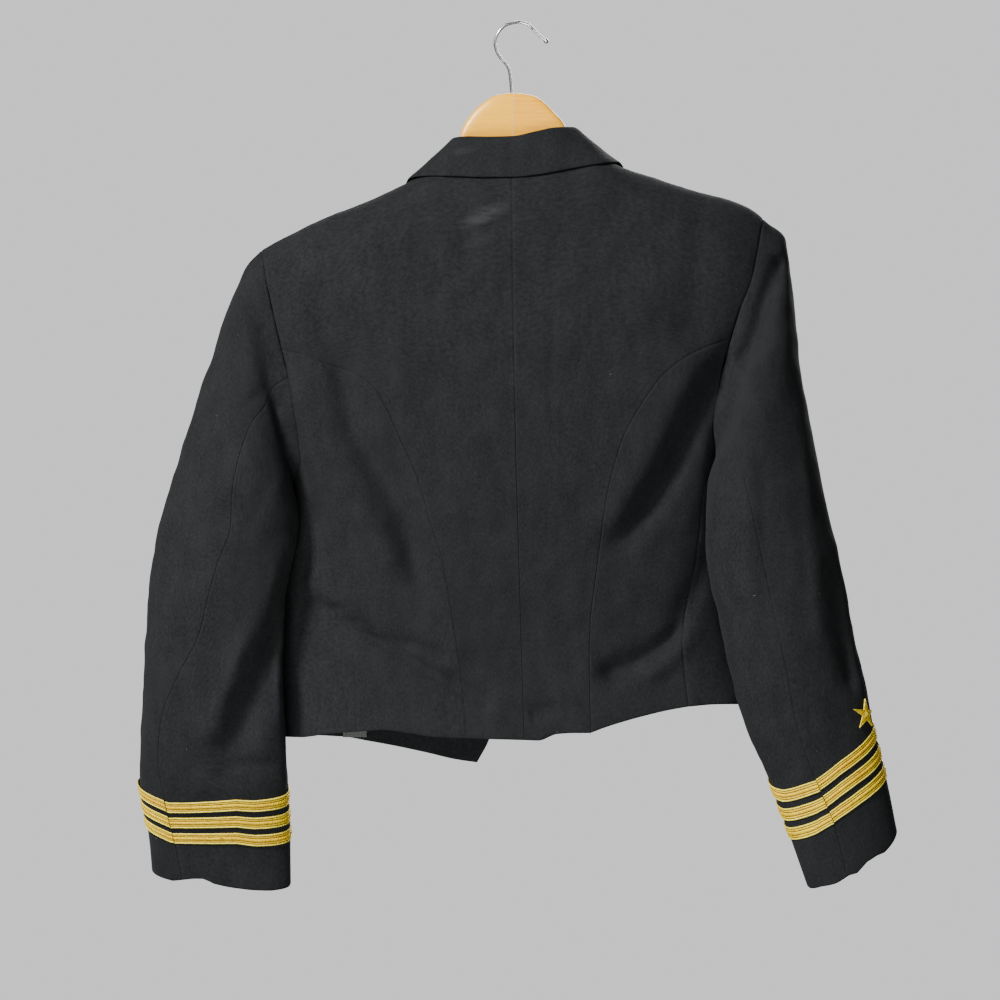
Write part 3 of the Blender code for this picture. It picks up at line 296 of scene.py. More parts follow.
# Each fold is a soft trough (negative) or ridge: its line, half its width, its height and the
# share of its length over which it fades out at either end.
Fold = namedtuple("Fold", "line half_width height fade")
BACK_FOLDS = [
    Fold([(290, 280), (318, 325), (340, 365), (352, 425), (385, 480), (407, 525), (418, 580), (424, 640)],
         14, -12, 0.3),
    Fold([(302, 405), (324, 455), (366, 520), (388, 560)], 18, 9, 0),
    Fold([(308, 480), (330, 555), (340, 590)], 9, -3, 0),
    Fold([(764, 298), (736, 350), (706, 400), (684, 446), (662, 486), (634, 524), (596, 572)], 14, -19, 0.3),
    Fold([(700, 345), (668, 415), (636, 485), (606, 540)], 20, 7, 0.1),
    Fold([(712, 440), (700, 490), (680, 540)], 10, 5, 0.2),
    Fold([(288, 596), (325, 617), (350, 625), (400, 650), (440, 674), (482, 698)], 10, -6, 0),
    Fold([(282, 580), (306, 597), (340, 614)], 5, -7, 0.15),
    Fold([(302, 574), (322, 590), (348, 603)], 8, 6, 0.2),
    Fold([(303, 540), (300, 565), (292, 590)], 8, -11, 0.2),
    Fold([(345, 622), (366, 620)], 3, -1.5, 0.3),
    Fold([(356, 630), (374, 637), (392, 647)], 3.5, -3, 0.3),
    Fold([(386, 641), (420, 656), (458, 676)], 4.5, 3.2, 0.3),
    Fold([(394, 636), (430, 648), (460, 666)], 6, -3, 0.3),
    Fold([(300, 568), (345, 592), (400, 622), (450, 650)], 17, 4, 0),
    Fold([(706, 565), (690, 602), (668, 640), (640, 660), (612, 672)], 12, -12, 0),
    Fold([(704, 600), (688, 634), (662, 664), (632, 680)], 10, 4, 0.2),
    Fold([(700, 225), (695, 280), (688, 330)], 15, -3, 0),
    Fold([(345, 218), (400, 214), (455, 213)], 8, -2, 0.3),
    Fold([(527, 716), (561, 704)], 9, -3, 0.2),
    Fold([(345, 219), (398, 215), (452, 213)], 3.5, -1.0, 0.35),
    Fold([(352, 226), (400, 222), (450, 219)], 4, 0.8, 0.4),
    Fold([(548, 230), (553, 320), (551, 400), (556, 480)], 4, -0.7, 0.3),
    Fold([(300, 342), (322, 362), (346, 386)], 6, -1.6, 0.4),
    Fold([(310, 352), (326, 372), (344, 388)], 5, 1.2, 0.4),
    Fold([(292, 398), (310, 420), (330, 462)], 6, -1.6, 0.4),
    Fold([(380, 300), (400, 380), (428, 470)], 12, 1.4, 0.4),
    Fold([(600, 250), (610, 340), (596, 430)], 14, -1.2, 0.4),
    Fold([(655, 235), (650, 300), (640, 350)], 10, 1.3, 0.4),
    Fold([(420, 560), (455, 600), (500, 640)], 10, -1.6, 0.4),
    Fold([(398, 560), (420, 604), (452, 640)], 8, 1.5, 0.4),
    Fold([(310, 640), (340, 650), (392, 678)], 7, 1.6, 0.4),
    Fold([(296, 660), (330, 690), (345, 722)], 8, -1.6, 0.4),
    Fold([(560, 600), (600, 640), (648, 650)], 11, 1.5, 0.4),
    Fold([(700, 590), (672, 622), (640, 640)], 7, 2.0, 0.4),
    Fold([(700, 640), (672, 672), (650, 700)], 9, -1.6, 0.4),
    Fold([(470, 690), (520, 700), (560, 694)], 8, 1.0, 0.4),
]
FRONT_FOLDS = [
    Fold([(330, 300), (350, 400), (385, 500), (420, 600)], 18, -5, 0.3),
    Fold([(310, 380), (336, 470), (372, 560)], 16, 4, 0.3),
    Fold([(690, 300), (668, 400), (640, 500), (612, 590)], 18, -5, 0.3),
    Fold([(706, 370), (690, 470), (664, 560)], 14, 4, 0.3),
    Fold([(300, 600), (350, 624), (410, 650), (466, 662)], 11, -4, 0.3),
    Fold([(306, 578), (352, 600), (412, 628)], 12, 3, 0.3),
    Fold([(700, 590), (660, 616), (606, 640)], 11, -4, 0.3),
    Fold([(340, 690), (400, 704), (452, 700)], 10, 2, 0.4),
    Fold([(400, 250), (380, 320), (376, 380)], 12, 2, 0.4),
]

Ring = namedtuple("Ring", "out_across out_down out_depth in_across in_down in_depth half drop square elbow")
LEFT_RINGS = [
    Ring(246, 266, -7, 293.5, 491, -6, 40, 0, 2.0, .55),
    Ring(232, 298, -4, 296, 497, 2, 46, 0, 2.0, .54),
    Ring(214, 348, 0, 298, 507, 10, 50, 0, 2.0, .47),
    Ring(196, 405, 4, 299, 519, 15, 51, 0, 2.0, .44),
    Ring(180, 456, 8, 298, 532, 18, 50, 0, 2.0, .46),
    Ring(165, 507, 11, 297, 548, 20, 47, 0, 2.0, .51),
    Ring(155, 550, 14, 290, 574, 21, 44, 0, 2.0, .48),
    Ring(150, 590, 16, 285, 602, 22, 41, 0, 2.1, .445),
    Ring(147, 630, 18, 284, 637, 22, 37, 2, 2.2, .39),
    Ring(145, 670, 19, 283, 674, 22, 33, 4, 2.4, .25),
    Ring(143, 710, 18, 285, 714, 21, 29, 7, 2.6, .14),
    Ring(141, 750, 13, 287, 755, 16, 25, 10, 2.8, .125),
    Ring(140, 786, 4, 288, 787, 6, 22, 13, 3.0, .17),
    Ring(147, 828, -18, 290, 837, -17, 20, 11, 3.0, .19),
    Ring(151, 871, -29, 290, 885, -28, 19, 7, 3.0, .22),
]
RIGHT_RINGS = [
    Ring(786, 240, -7, 714.5, 459, -5, 40, 0, 2.0, .74),
    Ring(791, 275, -4, 712, 466, 2, 46, 0, 2.0, .76),
    Ring(796, 325, 0, 709, 474, 10, 50, 0, 2.0, .77),
    Ring(801, 375, 4, 707, 486, 15, 51, 0, 2.0, .71),
    Ring(809, 420, 8, 706, 499, 18, 50, 0, 2.0, .66),
    Ring(818, 468, 11, 705, 519, 20, 47, 0, 2.0, .62),
    Ring(829, 518, 13, 705, 547, 21, 44, 0, 2.0, .59),
    Ring(840, 566, 14, 709, 580, 22, 42, 0, 2.0, .577),
    Ring(849, 612, 14, 717, 620, 21, 40, 2, 2.0, .568),
    Ring(858, 652, 13, 727, 664, 20, 37, 5, 2.0, .565),
    Ring(866, 690, 12, 744, 722, 18, 33, 14, 2.0, .58),
    Ring(873, 727, 11, 769, 780, 15, 30, 21, 2.0, .567),
    Ring(886, 778, 8, 789, 834, 11, 29, 15, 2.0, .546),
    Ring(897, 832, 5, 807, 885, 8, 28, 13, 2.0, .567),
]
# Folds in the sleeves, as seen from the back and, in the second table, on the hidden front
LEFT_SLEEVE_FOLDS = [
    Fold([(241, 328), (232, 360), (211, 400), (200, 453), (197, 490)], 12, -4, 0.1),
    Fold([(292, 548), (276, 590), (254, 642), (234, 690), (208, 745)], 13, 4, 0.1),
    Fold([(300, 575), (290, 610), (272, 655), (252, 705), (232, 752), (224, 784)], 17, -12, 0.3),
    Fold([(271, 323), (264, 330), (256, 338)], 4, -1.5, 0.4),
    Fold([(274, 383), (252, 402), (230, 426)], 6, -1.8, 0.4),
    Fold([(289, 397), (280, 405), (271, 414)], 4, -1.4, 0.4),
    Fold([(270, 440), (240, 470), (214, 520)], 10, 2.2, 0.4),
    Fold([(282, 470), (262, 500), (246, 548)], 9, -2.2, 0.4),
    Fold([(166, 646), (174, 656), (183, 667)], 6, -2.2, 0.4),
    Fold([(158, 600), (176, 622), (196, 640)], 8, 1.8, 0.4),
    Fold([(160, 690), (172, 720), (176, 760)], 9, -1.6, 0.4),
    Fold([(256, 610), (238, 655), (221, 705), (203, 758)], 9, 5, 0.35),
    Fold([(214, 772), (248, 764), (284, 772)], 9, -4, 0.35),
    Fold([(206, 766), (226, 778), (256, 786)], 5, -2.2, 0.3),
    Fold([(276, 640), (282, 690), (283, 740)], 5, 2.0, 0.3),
]
RIGHT_SLEEVE_FOLDS = [
    Fold([(785, 252), (775, 275), (765, 303), (754, 340), (738, 372)], 10, -9, 0.1),
    Fold([(803, 420), (807, 480), (811, 540), (816, 606), (819, 660)], 9, 3, 0.2),
    Fold([(832, 540), (840, 620), (852, 700)], 11, -7, 0.2),
    Fold([(749, 323), (744, 320), (738, 316)], 3.5, -1.2, 0.4),
    Fold([(732, 374), (726, 377), (719, 381)], 3.5, -1.2, 0.4),
    Fold([(790, 300), (785, 350), (784, 400)], 8, 1.8, 0.4),
    Fold([(756, 420), (762, 500), (770, 580)], 10, -1.8, 0.4),
    Fold([(740, 470), (750, 560), (756, 640)], 9, 1.6, 0.4),
    Fold([(728, 590), (752, 612), (784, 622)], 8, -1.8, 0.4),
    Fold([(840, 622), (848, 672), (856, 720)], 6, -2.0, 0.4),
    Fold([(778, 690), (800, 730), (822, 764)], 9, 1.4, 0.4),
]
LEFT_HIDDEN_FOLDS = [
    Fold([(270, 340), (240, 400), (216, 470)], 12, -3.5, 0.3),
    Fold([(284, 520), (250, 566), (190, 600)], 11, -4, 0.3),
    Fold([(284, 480), (246, 530), (180, 566)], 11, 3, 0.3),
    Fold([(280, 570), (236, 620), (172, 646)], 10, 2.4, 0.3),
    Fold([(176, 640), (196, 700), (212, 760)], 12, -2.4, 0.3),
]
RIGHT_HIDDEN_FOLDS = [
    Fold([(770, 300), (786, 380), (792, 450)], 12, -3.5, 0.3),
    Fold([(722, 500), (760, 556), (824, 580)], 11, -4, 0.3),
    Fold([(722, 460), (770, 516), (826, 540)], 11, 3, 0.3),
    Fold([(740, 590), (786, 630), (846, 640)], 10, 2.4, 0.3),
    Fold([(800, 650), (820, 700), (836, 760)], 12, -2.4, 0.3),
]

# Armholes: points on the back half and on the front half, from the shoulder tip down
Side = namedtuple("Side", "name sign tip armpit arm_back arm_front princess_start elbow rings folds hidden")
LEFT = Side("left", 1, (261, 251), 482,
            [(265, 274), (276, 324), (284, 357), (291, 386), (295, 411), (299, 437), (301, 460)],
            [(270, 274), (286, 324), (300, 386), (304, 437), (302, 460)],
            350, 377, LEFT_RINGS, LEFT_SLEEVE_FOLDS, LEFT_HIDDEN_FOLDS)
RIGHT = Side("right", -1, (763, 219), 452,
             [(761, 231), (756, 257), (750, 283), (739, 311), (729, 343), (722, 370), (717, 395), (713, 420)],
             [(757, 235), (745, 283), (728, 335), (718, 380), (711, 420)],
             338, 385, RIGHT_RINGS, RIGHT_SLEEVE_FOLDS, RIGHT_HIDDEN_FOLDS)

CENTRE_SEAM = [(512, 170), (513, 290), (516, 450), (520, 600), (524, 739)]
NECK = {"left": [(440, 169), (468, 171), (512, 170)], "right": [(590, 154.5), (560, 162), (512, 170)]}
PRINCESS = {
    "left": [(304, 355), (328, 364), (352, 373), (377, 391), (401, 440), (420, 485), (434, 531), (443, 560),
             (452, 610), (461, 668), (467, 737)],
    "right": [(695, 352), (660, 378), (631, 421), (615, 461), (604, 510), (598, 557), (590, 623),
              (589, 673), (590, 732)],
}
SIDE_SEAM = {
    "left": [(311, 505), (325, 540), (333, 567), (341, 601), (347, 620), (353, 643), (356, 684), (357, 731)],
    "right": [(703, 500), (697, 555), (690, 590), (682, 645), (688, 706)],
}
HEM_BACK = {"left": [(467, 737), (490, 738), (524, 739)],
            "right": [(590, 732), (575, 732), (557, 733), (538, 739.5), (524, 739)]}
HEM_SIDE = {"left": [(357, 731), (383, 729), (414, 733), (436, 736), (467, 737)],
            "right": [(688, 706), (670, 709), (640, 716), (606, 726), (590, 732)]}
# Front hems run from the side seam round the side (True is the back of the body)
HEM_FRONT = {
    "left": [(357, 731, True), (331, 733, True), (301, 737, True), (281, 737, True), (300, 736, False),
             (343, 738, False), (366, 742, False), (393, 747, False), (426, 754, False),
             (456, 761, False), (477, 764, False)],
    "right": [(688, 706, True), (715, 704, True), (748, 704, True), (742, 704, False), (700, 702, False),
              (660, 706, False), (620, 716, False), (600, 726, False), (580, 735, False)],
}
FRONT_EDGE = {
    "left": [(440, 169), (450, 190), (456, 215), (464, 260), (474, 320), (486, 400), (495, 480), (500, 545),
             (501, 600), (500, 660), (497, 700), (490, 738), (477, 764)],
    "right": [(590, 154.5), (581, 180), (575, 210), (570, 260), (566, 320), (562, 400), (560, 480),
              (560, 545), (560, 600), (562, 660), (570, 705), (580, 735)],
}
FRONT_EDGE_TOP = 0.42
FRONT_SEAM_TURN = 2.2
YOKE_SHARE = 0.2
TURN_WEIGHT = 200

# Cells along the seams
ARM_TOP = 26
ARM_SEAM = 10
ARM_LOW = 20
ARM_FRONT_LOW = 14
ARM_FRONT = 34
SEAM_ROWS = 118
NECK_COLUMNS = 22
SHOULDER_COLUMNS = 66


def smooth(xs, ys, at):
    """Read a table at new places along a curve that doesn't overshoot its points."""
    xs = np.asarray(xs, float)
    ys = np.asarray(ys, float)
    at = np.clip(np.asarray(at, float), xs[0], xs[-1])
    step = np.diff(xs)
    flat = ys.reshape(len(xs), -1)
    slope = np.diff(flat, axis=0) / step[:, None]
    before, after = slope[:-1], slope[1:]
    same_way = before * after > 0
    total = np.where(same_way, before + after, 1.0)
    inner = np.where(same_way, 2 * before * after / total, 0.0)
    tangent = np.vstack([slope[:1], inner, slope[-1:]])
    cell = np.clip(np.searchsorted(xs, at, side="right") - 1, 0, len(xs) - 2)
    t = ((at - xs[cell]) / step[cell])[..., None]
    h = step[cell][..., None]
    value = ((2 * t**3 - 3 * t**2 + 1) * flat[cell] + (t**3 - 2 * t**2 + t) * h * tangent[cell]
             + (3 * t**2 - 2 * t**3) * flat[cell + 1] + (t**3 - t**2) * h * tangent[cell + 1])
    return value.reshape(at.shape + ys.shape[1:])


def along(points, fractions):
    """Points at the given fractions of a smooth line's length."""
    points = np.asarray(points, float)
    run = np.concatenate([[0], np.cumsum(np.linalg.norm(np.diff(points, axis=0), axis=1))])
    return smooth(run / run[-1], points, fractions)


def signed_power(value, exponent):
    return np.sign(value) * np.abs(value) ** exponent


def unit(vectors):
    length = np.linalg.norm(vectors, axis=-1, keepdims=True)
    return vectors / np.where(length > 0, length, 1)


def drawn(across, depth, down):
    """Drawing millimetres to metres."""
    across, depth, down = np.broadcast_arrays(across, depth, down)
    return np.stack([(CROWN_ACROSS - across) / 1000, depth / 1000, (CROWN_DOWN - down) / 1000], axis=-1)


def across_of(points):
    """Where points lie across the drawing."""
    return CROWN_ACROSS - points[..., 0] * 1000


def fold_depth(folds, across, down):
    """How far the folds push the cloth out, in millimetres."""
    total = np.zeros(np.shape(across))
    here = np.stack([across, down], axis=-1)[..., None, :]
    for fold in folds:
        line = along(fold.line, np.linspace(0, 1, 13))
        run = np.diff(line, axis=0)
        length = np.linalg.norm(run, axis=1)
        start = np.concatenate([[0], np.cumsum(length)[:-1]])
        share = np.clip(((here - line[:-1]) * run).sum(-1) / length**2, 0, 1)
        gap = np.linalg.norm(here - line[:-1] - share[..., None] * run, axis=-1)
        nearest = gap.argmin(-1)[..., None]
        at = np.take_along_axis((start + share * length) / length.sum(), nearest, -1)[..., 0]
        gap = np.take_along_axis(gap, nearest, -1)[..., 0]
        ease = np.clip(np.minimum(at, 1 - at) / max(fold.fade, 1e-6), 0, 1) if fold.fade else 1.0
        total += fold.height * np.exp(-(gap / fold.half_width) ** 2) * ease * ease * (3 - 2 * ease)
    return total


def body_angle(across, down, on_back=True, right=False):
    """Turn round the body: 0 at the left edge, a quarter at the centre back, half at the right."""
    edges = smooth([level.down for level in LEVELS], [level[1:3] for level in LEVELS], down)
    left_edge, right_edge = edges[..., 0], edges[..., 1]
    share = np.clip(((left_edge + right_edge) / 2 - across) / (right_edge - left_edge) * 2, -1, 1)
    turn = np.arccos(share)
    if on_back:
        return turn
    return 2 * math.pi - turn if right else -turn


def body_point(turn, down, outwards=0.0):
    """Points on the body's outer face."""
    table = smooth([level.down for level in LEVELS], [level[1:] for level in LEVELS], down)
    left_edge, right_edge, middle, back, front, back_square, front_square = np.moveaxis(table, -1, 0)
    near = np.sin(turn) >= 0
    square = np.where(near, back_square, front_square)
    half = (right_edge - left_edge) / 2 + outwards
    across = (left_edge + right_edge) / 2 - half * np.cos(turn)
    ridge = smooth([p[0] for p in RIDGE], [p[1] for p in RIDGE], across) - outwards
    share = np.clip((down - ridge) / (SHOULDER_ROUND + outwards), 0, 1)
    round_off = np.sqrt(1 - (1 - share) ** 2)
    reach = (1 - np.abs(np.cos(turn)) ** square) ** (1 / square)
    depth = middle + np.where(near, back + outwards, -front - outwards) * reach * round_off
    folded = np.where(near, fold_depth(BACK_FOLDS, across, down), -fold_depth(FRONT_FOLDS, across, down))
    return drawn(across, depth + folded * reach * round_off, down)


def seam_turns(points, right=False):
    """Drawing points, with an optional back or front mark, as turn and down pairs."""
    rows = []
    for point in points:
        on_back = point[2] if len(point) > 2 else True
        rows.append((float(body_angle(point[0], point[1], on_back, right)), point[1]))
    return np.array(rows)


def weighted_along(rows, fractions):
    """Evenly placed turn and down pairs, with turns weighed as lengths round the body."""
    return along(rows * [TURN_WEIGHT, 1], fractions) / [TURN_WEIGHT, 1]


def blend_patch(top, bottom, left, right):
    """Fill four border lines with a grid; top and bottom run from left to right."""
    v = np.linspace(0, 1, len(left))[:, None]
    top_share = (top[:, 0] - top[0, 0]) / (top[-1, 0] - top[0, 0])
    bottom_share = (bottom[:, 0] - bottom[0, 0]) / (bottom[-1, 0] - bottom[0, 0])
    share = ((1 - v) * top_share + v * bottom_share)[..., None]
    grid = left[:, None] + (right - left)[:, None] * share
    top_rise = top[:, 1] - top[0, 1] - (top[-1, 1] - top[0, 1]) * top_share
    bottom_rise = bottom[:, 1] - bottom[0, 1] - (bottom[-1, 1] - bottom[0, 1]) * bottom_share
    grid[..., 1] += (1 - v) * top_rise + v * bottom_rise
    return grid


def arm_turn(side, down):
    """The turn round the arm, 0 at the shoulder tip, at which the armhole reaches a level."""
    return math.acos(1 - 2 * (down - side.tip[1]) / (side.armpit - side.tip[1]))


def armhole(side, turns, on_back):
    """Turn and down pairs on the body along one half of the armhole."""
    right = side.sign < 0
    rows = [(0.0, float(body_angle(side.tip[0], side.tip[1], on_back, right)))]
    for across, down in (side.arm_back if on_back else side.arm_front):
        rows.append((arm_turn(side, down), float(body_angle(across, down, on_back, right))))
    rows.append((math.pi, math.pi if right else 0.0))
    rows = np.array(rows)
    downs = side.tip[1] + (1 - np.cos(turns)) / 2 * (side.armpit - side.tip[1])
    return np.column_stack([smooth(rows[:, 0], rows[:, 1], turns), downs])


def arm_turns(side):
    """Turns round the arm of the shared seam samples, on the back half and the front half."""
    princess = arm_turn(side, side.princess_start)
    elbow = arm_turn(side, side.elbow)
    back = np.concatenate([np.linspace(0, princess, ARM_TOP + 1),
                           np.linspace(princess, elbow, ARM_SEAM + 1)[1:],
                           np.linspace(elbow, math.pi, ARM_LOW + 1)[1:]])
    front = np.concatenate([np.linspace(0, FRONT_SEAM_TURN, ARM_FRONT + 1),
                            np.linspace(FRONT_SEAM_TURN, math.pi, ARM_FRONT_LOW + 1)[1:]])
    return back, front


def body_sheet(grid):
    """The points of a grid on the body and their outward normals, side by side."""
    turn, down = grid[..., 0], grid[..., 1]
    point = body_point(turn, down)
    beside = body_point(turn + 0.004, down) - point
    below = body_point(turn, down + 0.6) - point
    return np.concatenate([point, unit(np.cross(below, beside))], axis=-1)


def body_panels(side):
    """The back, side and front sheets of one side."""
    right = side.sign < 0
    back_turns, front_turns = arm_turns(side)
    arm_back = armhole(side, back_turns, True)
    arm_front = armhole(side, front_turns, False)
    even = np.linspace(0, 1, SEAM_ROWS + 1)
    princess = weighted_along(np.vstack([arm_back[ARM_TOP], seam_turns(PRINCESS[side.name])]), even)
    side_seam = weighted_along(np.vstack([arm_back[-1], seam_turns(SIDE_SEAM[side.name])]), even)

    yoke_at = np.linspace(0, 1, ARM_TOP + 1) ** 1.7 * YOKE_SHARE
    centre_at = np.concatenate([yoke_at, np.linspace(YOKE_SHARE, 1, SEAM_ROWS + 1)[1:]])
    centre = seam_turns(along(CENTRE_SEAM, centre_at))
    neck = seam_turns(along(NECK[side.name], np.linspace(0, 1, NECK_COLUMNS + 1)))
    ridge_across = np.linspace(side.tip[0], NECK[side.name][0][0], SHOULDER_COLUMNS + 1)
    ridge_down = smooth([p[0] for p in RIDGE], [p[1] for p in RIDGE], ridge_across)
    shoulder = np.column_stack([ridge_across, ridge_down])
    top = np.vstack([seam_turns(shoulder), neck[1:]])
    outer = np.vstack([arm_back[:ARM_TOP + 1], princess[1:]])
    hem = seam_turns(along(HEM_BACK[side.name], np.linspace(0, 1, len(top))))
    top[0] = outer[0]
    hem[0], hem[-1], top[-1] = outer[-1], centre[-1], centre[0]
    back = blend_patch(top, hem, outer, centre)

    arm_part = arm_back[ARM_TOP:][::-1]
    hem = seam_turns(along(HEM_SIDE[side.name], np.linspace(0, 1, len(arm_part))))
    hem[0], hem[-1] = side_seam[-1], princess[-1]
    side_panel = blend_patch(arm_part, hem, side_seam, princess)

    outer = np.vstack([arm_front, side_seam[1:]])
    rows_at = (1 - np.cos(front_turns)) / 2 * FRONT_EDGE_TOP
    edge_at = np.concatenate([rows_at, np.linspace(FRONT_EDGE_TOP, 1, SEAM_ROWS + 1)[1:]])
    edge_points = along(FRONT_EDGE[side.name], edge_at)
    edge = seam_turns([(p[0], p[1], False) for p in edge_points], right)
    top = seam_turns([(a, d, False) for a, d in shoulder], right)
    hem = weighted_along(seam_turns(HEM_FRONT[side.name], right), np.linspace(0, 1, SHOULDER_COLUMNS + 1))
    top[0], top[-1] = outer[0], edge[0]
    hem[0], hem[-1] = side_seam[-1], edge[-1]
    front = blend_patch(top, hem, outer, edge)
    return [body_sheet(grid) for grid in (back, side_panel, front)]


def near_border(grid, reach):
    """Put one more row or column just inside each border, so that the seam turns in sharply."""
    for axis in (0, 1):
        grid = np.swapaxes(grid, 0, axis)
        first = np.linalg.norm((grid[1] - grid[0])[..., :3], axis=-1).mean()
        last = np.linalg.norm((grid[-1] - grid[-2])[..., :3], axis=-1).mean()
        head = grid[0] + (grid[1] - grid[0]) * min(reach / first, 0.6)
        tail = grid[-1] + (grid[-2] - grid[-1]) * min(reach / last, 0.6)
        grid = np.concatenate([grid[:1], head[None], grid[1:-1], tail[None], grid[-1:]])
        grid = np.swapaxes(grid, 0, axis)
    return grid


def unevenness(points, seed, size, count=26):
    """Gentle, irregular waves of about one size, from -1 to 1 for the most part."""
    draw = np.random.default_rng(seed)
    total = np.zeros(points.shape[:-1])
    for _ in range(count):
        way = unit(draw.normal(size=3))
        pitch = size * draw.uniform(0.7, 1.6)
        total += np.sin(points @ way * (2 * math.pi / pitch) + draw.uniform(0, 2 * math.pi))
    return total / math.sqrt(count)


def grid_normals(grid, sign):
    return unit(np.cross(np.gradient(grid, axis=0), np.gradient(grid, axis=1))) * sign


def tube_faces(rings, sides):
    """Faces of a tube through its rings of points, capped at both ends."""
    faces = []
    for start in range(0, (rings - 1) * sides, sides):
        for step in range(sides):
            after = (step + 1) % sides
            faces.append((start + step, start + after, start + sides + after, start + sides + step))
    faces.append(tuple(range(sides - 1, -1, -1)))
    faces.append(tuple(range((rings - 1) * sides, rings * sides)))
    return faces


def wall_faces(rows, columns):
    """Faces of a closed wall whose outer grid comes before its inner one."""
    count = rows * columns
    faces = []
    for row in range(rows - 1):
        for column in range(columns - 1):
            a = row * columns + column
            faces.append((a, a + 1, a + columns + 1, a + columns))
            faces.append((count + a + columns, count + a + columns + 1, count + a + 1, count + a))
    border = list(range(columns))
    border += [row * columns + columns - 1 for row in range(1, rows)]
    border += [(rows - 1) * columns + column for column in range(columns - 2, -1, -1)]
    border += [row * columns for row in range(rows - 2, 0, -1)]
    for first, second in zip(border, border[1:] + border[:1]):
        faces.append((second, first, count + first, count + second))
    return faces


def make_mesh(name, points, faces, material, cut_map=None, sharp=50):
    """A finished piece from points and faces, with its cut as a UV map in metres."""
    mesh = bpy.data.meshes.new(name)
    mesh.from_pydata(points.tolist(), [], faces)
    if cut_map is not None:
        corners = np.zeros(len(mesh.loops), int)
        mesh.loops.foreach_get("vertex_index", corners)
        mesh.uv_layers.new(name="cut").data.foreach_set("uv", cut_map[corners].ravel())
    work = bmesh.new()
    work.from_mesh(mesh)
    bmesh.ops.recalc_face_normals(work, faces=work.faces)
    work.to_mesh(mesh)
    work.free()
    mesh.materials.append(material)
    mesh.shade_smooth()
    mesh.set_sharp_from_angle(angle=math.radians(sharp))
    piece = bpy.data.objects.new(name, mesh)
    bpy.context.scene.collection.objects.link(piece)
    return piece


# Seed, size in metres and share of each scale of unevenness in the hanging cloth
SWELLS = [(5, 0.070, 0.75), (8, 0.028, 0.32), (11, 0.012, 0.11)]
SWELL_HIGH = 0.001
ARMPIT_REACH = 0.032
armpits = [body_point(np.array(turn), np.array(float(side.armpit)))
           for side, turn in ((LEFT, 0.0), (RIGHT, math.pi))]


def sew_panel(name, grid, sign=1, waver=1.0, thickness=CLOTH):
    """A cloth panel: its grid made uneven, turned in at its seams and given its thickness.
    Where the sleeve and the body face each other at the armpit, both keep still."""
    weight = waver if np.ndim(waver) else np.full(grid.shape[:2], waver)
    if grid.shape[-1] == 3:
        grid = np.concatenate([grid, grid_normals(grid, sign)], axis=-1)
    packed = near_border(np.concatenate([grid, weight[..., None]], axis=-1), SEAM_REACH)
    grid, normals, weight = packed[..., :3], unit(packed[..., 3:6]), packed[..., 6]
    calm = np.ones(grid.shape[:2])
    for armpit in armpits:
        away = np.linalg.norm(grid - armpit, axis=-1)
        calm = np.minimum(calm, np.clip(away / ARMPIT_REACH, 0, 1) ** 2)
    weight = weight * calm
    swell = sum(share * unevenness(grid, seed, size) for seed, size, share in SWELLS)
    grid = grid + normals * (swell * weight)[..., None] * SWELL_HIGH
    rows, columns = grid.shape[:2]
    dip = np.zeros((rows, columns))
    dip[[0, -1]] = SEAM_DIP
    dip[:, [0, -1]] = SEAM_DIP
    outer = grid - normals * (dip * calm)[..., None]
    inner = grid - normals * thickness
    wide = np.concatenate([[0], np.cumsum(np.linalg.norm(np.diff(grid[rows // 2], axis=0), axis=1))])
    tall = np.concatenate([[0], np.cumsum(np.linalg.norm(np.diff(grid[:, columns // 2], axis=0), axis=1))])
    cut_map = np.stack(np.meshgrid(wide, tall), axis=-1).reshape(-1, 2)
    points = np.vstack([outer.reshape(-1, 3), inner.reshape(-1, 3)])
    piece = make_mesh(name, points, wall_faces(rows, columns), wool, np.vstack([cut_map, cut_map]))
    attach(piece, "root")
    return piece


for side in (LEFT, RIGHT):
    back, side_panel, front = body_panels(side)
    panel = sew_panel(f"wool_back_{side.name}", back)
    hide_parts(f"back_{side.name}")
    panel = sew_panel(f"wool_side_{side.name}", side_panel)
    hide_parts(f"side_{side.name}")
    panel = sew_panel(f"wool_front_{side.name}", front)
    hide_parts(f"front_{side.name}")

# The sleeves
# Two-piece coat sleeves: a wide upper sleeve and a narrow under sleeve, seamed down the elbow
# and the inside, and set into the armholes. They break softly at the elbow.
SLEEVE_ROWS = 184
LACE_COUNT = 3
LACE_WIDTH = 12.7
LACE_GAP = 6.35


def ring_point(ring, turn):
    """Points on a sleeve ring, turn 0 at the outer end and pi at the inner one, and how far
    each stands towards the back, from -1 to 1."""
    shape = 2 / ring.square
    c = signed_power(np.cos(turn), shape)
    s = signed_power(np.sin(turn), shape)
    across = (ring.out_across + ring.in_across) / 2 + (ring.out_across - ring.in_across) / 2 * c
    down = (ring.out_down + ring.in_down) / 2 + (ring.out_down - ring.in_down) / 2 * c + ring.drop * s
    depth = (ring.out_depth + ring.in_depth) / 2 + (ring.out_depth - ring.in_depth) / 2 * c + ring.half * s
    return np.concatenate([drawn(across, depth, down), s[..., None]], axis=-1)


def seam_turn(ring):
    """The turn at which the elbow seam crosses a ring."""
    return math.acos(signed_power(1 - 2 * ring.elbow, ring.square / 2))


